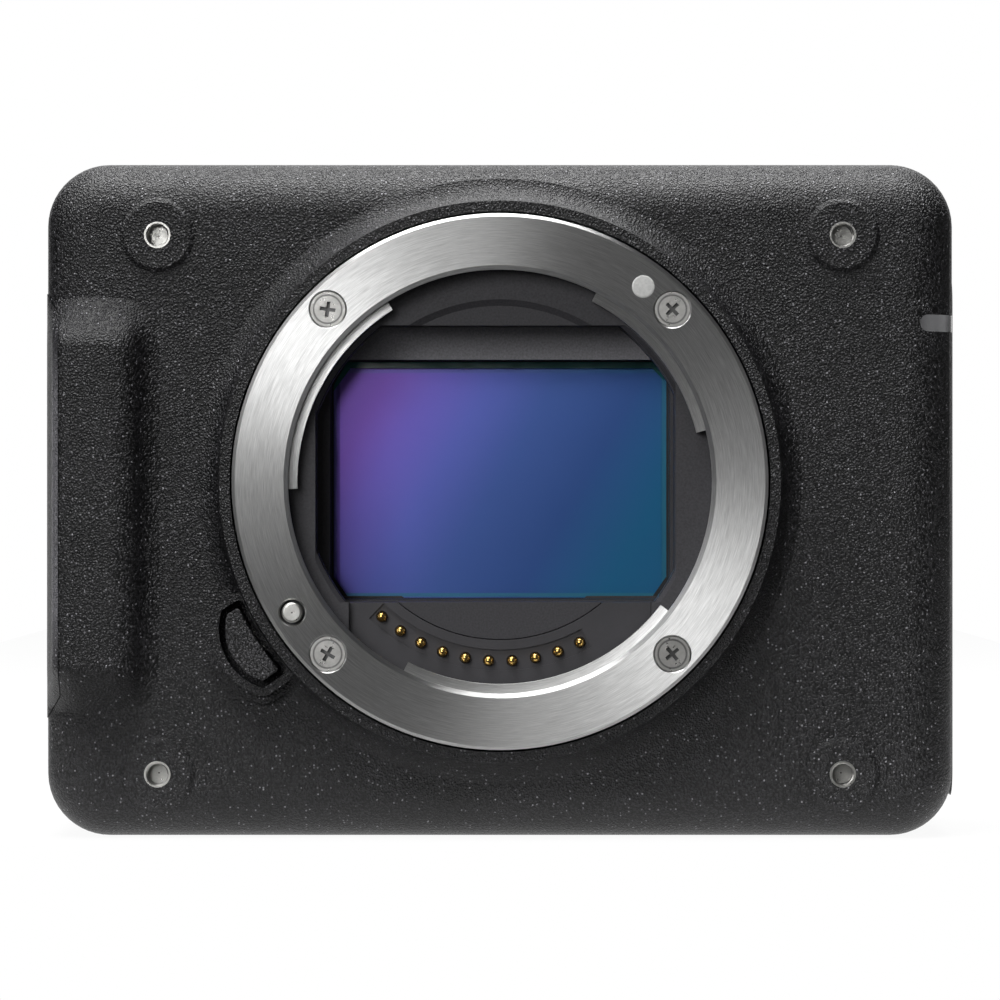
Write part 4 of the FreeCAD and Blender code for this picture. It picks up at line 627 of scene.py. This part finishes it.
windowEdge = {"opening": (18.6 * mm, 13.18 * mm), "outer": (18.83 * mm, 13.28 * mm), "thickness": 0.06 * mm,
              "topCorner": (1.5 * mm, 2.6 * mm), "bottomCorner": (1.65 * mm, 2.35 * mm),
              "smallCorner": (1.1 * mm, 1.7 * mm), "forward": 0.01 * mm}
greenEdge = {"band": 0.68 * mm, "slant": 0.62 * mm, "slantShare": 0.6, "smallBand": 0.3 * mm,
             "smallRun": 0.45 * mm, "thickness": 0.03 * mm, "forward": 0.02 * mm}
openingHighlight = {"halfWidth": 16.8 * mm, "height": 0.12 * mm, "gap": 0.02 * mm, "thickness": 0.1 * mm,
              "forward": 0.03 * mm}
stepEdge = {"left": -10.6 * mm, "right": 9.3 * mm, "height": 0.3 * mm, "slant": 0.4 * mm,
            "thickness": 0.05 * mm, "forward": 0.08 * mm}
flatAngle = 30


def windowPlate(name, outline, sizes, material, hole=None):
    # a thin plate in front of the filter glass
    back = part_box("sensor_glass")[0].y - sizes["forward"]
    mesh = plateMesh(name, outline, back - sizes["thickness"], back, hole)
    makePiece(name, mesh, material, "camera_body", flatAngle)


def cornerCuts():
    # the two points of the cut at each corner of the window, anticlockwise from the top right
    centre = middleOf("sensor_glass")
    width, height = windowEdge["opening"]
    cuts = []
    for sideX, sideZ in ((1, 1), (-1, 1), (-1, -1), (1, -1)):
        label = "smallCorner" if (sideX, sideZ) == (1, 1) else ("topCorner" if sideZ > 0 else "bottomCorner")
        cutX, cutZ = windowEdge[label]
        corner = [(sideX * width, centre.z + sideZ * (height - cutZ)),
                  (sideX * (width - cutX), centre.z + sideZ * height)]
        cuts += corner if sideX * sideZ > 0 else corner[::-1]
    return cuts


def makeWindowEdge():
    centreZ = middleOf("sensor_glass").z
    wide, tall = windowEdge["outer"]
    hole = cornerCuts()
    outline = []
    for x, z in hole:
        side, level = math.copysign(wide, x), centreZ + math.copysign(tall, z - centreZ)
        onSide = math.isclose(abs(x), windowEdge["opening"][0])
        outline.append((side, z if onSide else level))
    windowPlate("sensorMask", outline, windowEdge, framePlastic, hole)


def makeSill():
    # the lower edge of the window, cut out in the middle
    width, tall = windowEdge["outer"]
    foot = middleOf("sensor_glass").z - tall
    top, slant = foot + stepEdge["height"], stepEdge["slant"]
    for name, inner, outer, lean in (("leftSill", stepEdge["left"], -width, -slant),
                                     ("rightSill", stepEdge["right"], width, slant)):
        outline = [(outer, foot), (inner, foot), (inner + lean, top), (outer, top)]
        windowPlate(name, outline, stepEdge, bafflePlastic)


def makeGreenEdge():
    rightSide, rightTop, leftTop, leftSide = cornerCuts()[:4]
    band, slant, small = greenEdge["band"], greenEdge["slant"], greenEdge["smallBand"]
    inner = [(leftSide[0], leftSide[1] - slant),
             (leftTop[0] + slant * greenEdge["slantShare"], leftTop[1] - band),
             (rightTop[0] - greenEdge["smallRun"], rightTop[1] - band),
             (rightSide[0] - small, rightSide[1] - small)]
    outline = [leftSide, *inner, rightSide, rightTop, leftTop]
    windowPlate("glassBevel", outline, greenEdge, bevelGreen)


def makeOpeningHighlight():
    # a painted highlight: a light strip along the edge of the baffle above the window
    foot = middleOf("sensor_glass").z + windowEdge["outer"][1] + openingHighlight["gap"]
    half, top = openingHighlight["halfWidth"], foot + openingHighlight["height"]
    outline = [(-half, foot), (half, foot), (half, top), (-half, top)]
    windowPlate("openingHighlight", outline, openingHighlight, highlightPlastic)


makeWindowEdge()
makeSill()
makeGreenEdge()
makeOpeningHighlight()
print("index dot and sensor window made")


# Geometry Nodes helpers

def startTree(name, labels):
    tree = bpy.data.node_groups.new(name, "GeometryNodeTree")
    tree.interface.new_socket("Geometry", in_out="INPUT", socket_type="NodeSocketGeometry")
    for label in labels:
        tree.interface.new_socket(label, in_out="INPUT", socket_type="NodeSocketFloat")
    tree.interface.new_socket("Geometry", in_out="OUTPUT", socket_type="NodeSocketGeometry")
    return tree, tree.nodes.new("NodeGroupInput").outputs, tree.nodes.new("NodeGroupOutput").inputs[0]


def windWire(tree, sizes, wire):
    # a wire wound up along Z; sizes names the spiral's inputs, and wire its radius and its sides
    spiral = treeNode(tree, "GeometryNodeCurveSpiral",
                      {**sizes, "Start Radius": sizes["End Radius"]})
    section = treeNode(tree, "GeometryNodeCurvePrimitiveCircle", wire)
    wound = treeNode(tree, "GeometryNodeCurveToMesh",
                     {"Curve": spiral.outputs[0], "Profile Curve": section.outputs[0], "Fill Caps": True})
    return wound.outputs[0]


def sink(tree, shape, depth):
    along = treeNode(tree, "ShaderNodeCombineXYZ", {"Z": depth})
    return treeNode(tree, "GeometryNodeTransform",
                    {"Geometry": shape, "Translation": along.outputs[0]}).outputs[0]


def finishTree(tree, points, shape, material, output):
    # one copy of the shape on each point, its Z along the point's aim
    aim = treeNode(tree, "GeometryNodeInputNamedAttribute", {"Name": "aim"}, data_type="FLOAT_VECTOR")
    turn = treeNode(tree, "FunctionNodeAlignRotationToVector", {"Vector": aim.outputs[0]}, axis="Z")
    copies = treeNode(tree, "GeometryNodeInstanceOnPoints",
                      {"Points": points, "Instance": shape, "Rotation": turn.outputs[0]})
    real = treeNode(tree, "GeometryNodeRealizeInstances", {0: copies.outputs[0]})
    painted = treeNode(tree, "GeometryNodeSetMaterial", {"Geometry": real.outputs[0], "Material": material})
    tree.links.new(painted.outputs[0], output)


def growPiece(name, tree, sizes, places, material, body, smoothAngle=40):
    # a mesh of bare points, one for each place and aim, that the tree turns into the piece
    mesh = bpy.data.meshes.new(name)
    mesh.from_pydata([place for place, aim in places], [], [])
    aims = mesh.attributes.new("aim", "FLOAT_VECTOR", "POINT")
    for entry, (place, aim) in zip(aims.data, places):
        entry.vector = aim
    seed = bpy.data.objects.new(name + "Points", mesh)
    bpy.context.scene.collection.objects.link(seed)
    modifier = seed.modifiers.new(name, "NODES")
    modifier.node_group = tree
    for item in tree.interface.items_tree:
        if item.in_out == "INPUT" and item.name in sizes:
            modifier[item.identifier] = sizes[item.name]
    grown = bpy.data.meshes.new_from_object(seed.evaluated_get(bpy.context.evaluated_depsgraph_get()))
    seed.modifiers.remove(modifier)
    bpy.data.objects.remove(seed)
    grown.name = name
    return makePiece(name, grown, material, body, smoothAngle)


# Screw threads in the bores of the inserts and of the tripod socket

m3Thread = {"Radius": 1.27 * mm, "Pitch": 0.5 * mm, "Depth": 2.7 * mm, "Ridge": 0.15 * mm, "Mouth": 0.35 * mm}
tripodThread = {"Radius": 2.64 * mm, "Pitch": 1.27 * mm, "Depth": 4.9 * mm, "Ridge": 0.36 * mm,
                "Mouth": 0.6 * mm}


def makeThreadTree(material):
    tree, given, output = startTree("screwThread", m3Thread)
    turns = calculate(tree, "DIVIDE", given["Depth"], given["Pitch"])
    ridge = windWire(tree, {"Resolution": 20, "Rotations": turns, "End Radius": given["Radius"],
                            "Height": given["Depth"]}, {"Resolution": 4, "Radius": given["Ridge"]})
    finishTree(tree, given["Geometry"], sink(tree, ridge, given["Mouth"]), material, output)
    return tree


def insertPlaces():
    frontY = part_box("thread_inserts")[0].y
    places = []
    for x in (-facePattern["halfX"], facePattern["halfX"]):
        for z in (facePattern["lowZ"], facePattern["highZ"]):
            places += [((x, frontY, z), (0, 1, 0)), ((x, bodyHigh.y, z), (0, -1, 0))]
    for x in (-edgePattern["halfX"], edgePattern["halfX"]):
        places += [((x, edgePattern["y"], 0), (0, 0, 1)), ((x, edgePattern["y"], bodyHigh.z), (0, 0, -1))]
    return places


boreEnd = {"Radius": 1.2 * mm, "Thickness": 0.3 * mm, "Depth": 3.4 * mm}


def makeEndTree(material):
    # the flat end of each blind bore
    tree, given, output = startTree("boreEnd", boreEnd)
    disc = treeNode(tree, "GeometryNodeMeshCylinder",
                    {"Vertices": 40, "Radius": given["Radius"], "Depth": given["Thickness"]})
    sunk = sink(tree, disc.outputs["Mesh"], given["Depth"])
    finishTree(tree, given["Geometry"], sunk, material, output)
    return tree


threadAngle = 20
threadTree = makeThreadTree(plainSteel)
growPiece("insertEnds", makeEndTree(insertSteel), boreEnd, insertPlaces(), insertSteel, "camera_body",
          threadAngle)
growPiece("insertThreads", threadTree, m3Thread, insertPlaces(), plainSteel, "camera_body",
          threadAngle)
tripodMiddle = middleOf("tripod_socket")
growPiece("tripodThread", threadTree, tripodThread, [((tripodMiddle.x, tripodMiddle.y, 0), (0, 0, 1))],
          plainSteel, "camera_body", threadAngle)
print("threads grown")


# Lock spring, which the release presses together

lockSpring = {"Radius": 1.2 * mm, "Wire": 0.16 * mm, "Turns": 3.0}


def makeSpringTree(material):
    tree, given, output = startTree("lockSpring", [*lockSpring, "Length"])
    wound = windWire(tree, {"Resolution": 48, "Rotations": given["Turns"], "End Radius": given["Radius"],
                            "Height": given["Length"]}, {"Resolution": 12, "Radius": given["Wire"]})
    finishTree(tree, given["Geometry"], wound, material, output)
    return tree


def makeLockSpring():
    low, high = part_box("lock_spring")
    centre = (low + high) / 2
    wire = lockSpring["Wire"]
    sizes = {**lockSpring, "Length": high.y - low.y - 2 * wire}
    places = [((centre.x, low.y + wire, centre.z), (0, 1, 0))]
    coil = growPiece("lockSpringCoil", makeSpringTree(plainSteel), sizes, places, plainSteel, "camera_body")
    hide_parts("lock_spring")
    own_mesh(coil)


makeLockSpring()
print("lock spring made")


# Rows of small blocks: contacts in the sockets

def makeRowTree(material):
    tree, given, output = startTree("contactRow", ["Width", "Length", "Height"])
    size = treeNode(tree, "ShaderNodeCombineXYZ",
                    {"X": given["Width"], "Y": given["Length"], "Z": given["Height"]})
    block = treeNode(tree, "GeometryNodeMeshCube", {"Size": size.outputs[0]})
    finishTree(tree, given["Geometry"], block.outputs[0], material, output)
    return tree


usbContacts = {"Width": 0.28 * mm, "Length": 3.6 * mm, "Height": 0.05 * mm, "pitch": 0.5 * mm, "count": 12,
               "tongue": 0.7 * mm, "inset": 2.9 * mm}
hdmiContacts = {"Width": 0.22 * mm, "Length": 3.2 * mm, "Height": 0.05 * mm, "pitch": 0.4 * mm, "count": 10,
                "tongue": 0.6 * mm, "inset": 2.9 * mm}


def socketRow(node, sizes):
    # gold strips on both faces of a socket's tongue
    centre, right = middleOf(node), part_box(node)[1].x
    places = []
    for step in range(sizes["count"]):
        z = centre.z + (step - (sizes["count"] - 1) / 2) * sizes["pitch"]
        for side in (-1, 1):
            places.append(((right - sizes["inset"], centre.y + side * sizes["tongue"] / 2, z), (0, side, 0)))
    return places


rowTree = makeRowTree(gold)
for title, node, sizes in (("usbContacts", "usb_socket", usbContacts),
                           ("hdmiContacts", "hdmi_socket", hdmiContacts)):
    growPiece(title, rowTree, sizes, socketRow(node, sizes), gold, "camera_body")
print("socket contacts grown")


# Plain marks on the rear keys

keyMark = {"size": 0.95 * mm, "line": 0.22 * mm, "rise": 0.03 * mm, "sunk": 0.02 * mm, "base": 0.6,
           "inner": 0.7, "steps": 32}


def keyMarkOutlines(name):
    size, line = keyMark["size"], keyMark["line"]
    base, inner = size * keyMark["base"], size * keyMark["inner"]
    if name == "key_up":
        return [[(-size, -base), (size, -base), (0, size)]]
    if name == "key_down":
        return [[(-size, base), (0, -size), (size, base)]]
    if name == "key_menu":
        return [[(-size, z - line), (size, z - line), (size, z + line), (-size, z + line)]
                for z in (-inner, 0, inner)]
    turn = [math.tau * step / keyMark["steps"] for step in range(keyMark["steps"])]
    return [[(inner * math.cos(angle), inner * math.sin(angle)) for angle in turn]]


def makeKeyMarks():
    for name in keyNodes:
        centre, top = middleOf(name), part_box(name)[1].y
        whole = bmesh.new()
        for outline in keyMarkOutlines(name):
            places = [(centre.x - x, centre.z + z) for x, z in outline]
            mesh = plateMesh("mark", places, top - keyMark["sunk"], top + keyMark["rise"])
            whole.from_mesh(mesh)
            bpy.data.meshes.remove(mesh)
        mesh = bpy.data.meshes.new(name + "Mark")
        whole.to_mesh(mesh)
        whole.free()
        makePiece(name + "Mark", mesh, legendPaint, name, flatAngle)


makeKeyMarks()
print("key marks made")


# Stage, lights and camera

stage = {"side": 0.8, "floorSide": 0.13, "front": 0.006, "drop": 0.05 * mm, "backdropY": 1.6,
         "backdropHeight": 1.2, "floor": 0.94, "backdrop": 1.0, "lump": 0.2, "dull": (0.8, 0.8, 0.8, 1),
         "bright": (0.83, 0.83, 0.83, 1)}
lamps = [
    {"name": "keySoftbox", "place": (-0.325, -0.74, 0.30), "size": (0.34, 0.34), "power": 2.8},
    {"name": "topSoftbox", "place": (-0.05, 0.03, 0.72), "size": (0.9, 0.5), "power": 14.5},
    {"name": "leftStrip", "place": (-0.42, -0.75, 0.04), "size": (0.06, 0.3), "power": 0.12},
    {"name": "rightFill", "place": (0.8, -0.4, 0.15), "size": (0.4, 0.6), "power": 0.12},
    {"name": "frontLamp", "place": (-0.12, -0.93, 0.12), "size": (0.1, 0.1), "power": 0.3},
]
world = {"light": 0.05, "behind": (0.86, 0.95)}
view = {"distance": 575 * mm, "widthAtFlange": 108.7 * mm, "height": 37 * mm, "clip": (0.01, 20)}
white = (1, 1, 1, 1)


def makeStageMaterial(name, glowShare):
    # white to the camera, in glass and in reflections, and clear from behind or below;
    # the floor is still shadowed by the body
    material, tree, surface, place = startMaterial(name + "White", Roughness=0.9)
    lumps = noise(tree, place, stage["lump"])
    link(tree, surface, Base_Color=mixColors(tree, lumps, stage["dull"], stage["bright"]))
    path = shaderNode(tree, "LightPath")
    seen = calculate(tree, "MAXIMUM", path.outputs["Is Camera Ray"], path.outputs["Is Glossy Ray"])
    seen = calculate(tree, "MAXIMUM", seen, path.outputs["Is Transmission Ray"])
    glow = shaderNode(tree, "Emission", {"Color": white, "Strength": 1.0})
    share = multiply(tree, seen, glowShare)
    mixed = shaderNode(tree, "MixShader", {0: share, 1: surface.outputs[0], 2: glow.outputs[0]})
    backSide = shaderNode(tree, "NewGeometry").outputs["Backfacing"]
    clear = shaderNode(tree, "BsdfTransparent")
    oneSided = shaderNode(tree, "MixShader", {0: backSide, 1: mixed.outputs[0], 2: clear.outputs[0]})
    tree.links.new(oneSided.outputs[0], tree.nodes["Material Output"].inputs[0])
    return material


def makeStage():
    side, height, y, foot = stage["side"], stage["backdropHeight"], stage["backdropY"], -stage["drop"]
    front, near = bodyLow.y - stage["front"], stage["floorSide"]
    sheets = {"floor": [(-near, front, foot), (near, front, foot), (near, y, foot), (-near, y, foot)],
              "backdrop": [(-side, y, foot), (side, y, foot), (side, y, height), (-side, y, height)]}
    for name, corners in sheets.items():
        mesh = bpy.data.meshes.new(name)
        mesh.from_pydata(corners, [], [(0, 1, 2, 3)])
        mesh.materials.append(makeStageMaterial(name, stage[name]))
        sheet = bpy.data.objects.new(name, mesh)
        bpy.context.scene.collection.objects.link(sheet)


def makeLamps():
    aimedAt = Vector((0, 0, view["height"]))
    for sizes in lamps:
        light = bpy.data.lights.new(sizes["name"], "AREA")
        light.shape = "RECTANGLE"
        light.size, light.size_y = sizes["size"]
        light.energy = sizes["power"]
        lamp = bpy.data.objects.new(sizes["name"], light)
        bpy.context.scene.collection.objects.link(lamp)
        lamp.location = sizes["place"]
        lamp.rotation_euler = (aimedAt - lamp.location).to_track_quat("-Z", "Y").to_euler()


def makeWorld():
    # white to the camera, and behind the body to metal and glass too, and dim as a light
    surroundings = bpy.data.worlds.new("studio")
    bpy.context.scene.world = surroundings
    surroundings.use_nodes = True
    tree = surroundings.node_tree
    background = tree.nodes["Background"]
    path = shaderNode(tree, "LightPath")
    way = tree.nodes.new("ShaderNodeTexCoord").outputs["Generated"]
    behind = spread(tree, separate(tree, way)["Y"], *world["behind"])
    mirrored = calculate(tree, "MAXIMUM", path.outputs["Is Glossy Ray"], path.outputs["Is Transmission Ray"])
    seen = calculate(tree, "MAXIMUM", path.outputs["Is Camera Ray"], multiply(tree, mirrored, behind))
    background.inputs["Color"].default_value = white
    tree.links.new(spread(tree, seen, 0, 1, world["light"], 1), background.inputs["Strength"])


def makeCamera():
    data = bpy.data.cameras.new("photoCamera")
    data.sensor_fit = "HORIZONTAL"
    data.angle = 2 * math.atan(view["widthAtFlange"] / 2 / view["distance"])
    data.clip_start, data.clip_end = view["clip"]
    camera = bpy.data.objects.new("photoCamera", data)
    bpy.context.scene.collection.objects.link(camera)
    camera.location = (0, flangeY - view["distance"], view["height"])
    camera.rotation_euler = (math.pi / 2, 0, 0)
    bpy.context.scene.camera = camera


makeStage()
makeLamps()
makeWorld()
makeCamera()
bpy.context.scene.view_settings.view_transform = "Standard"
print("stage, lamps and camera made")
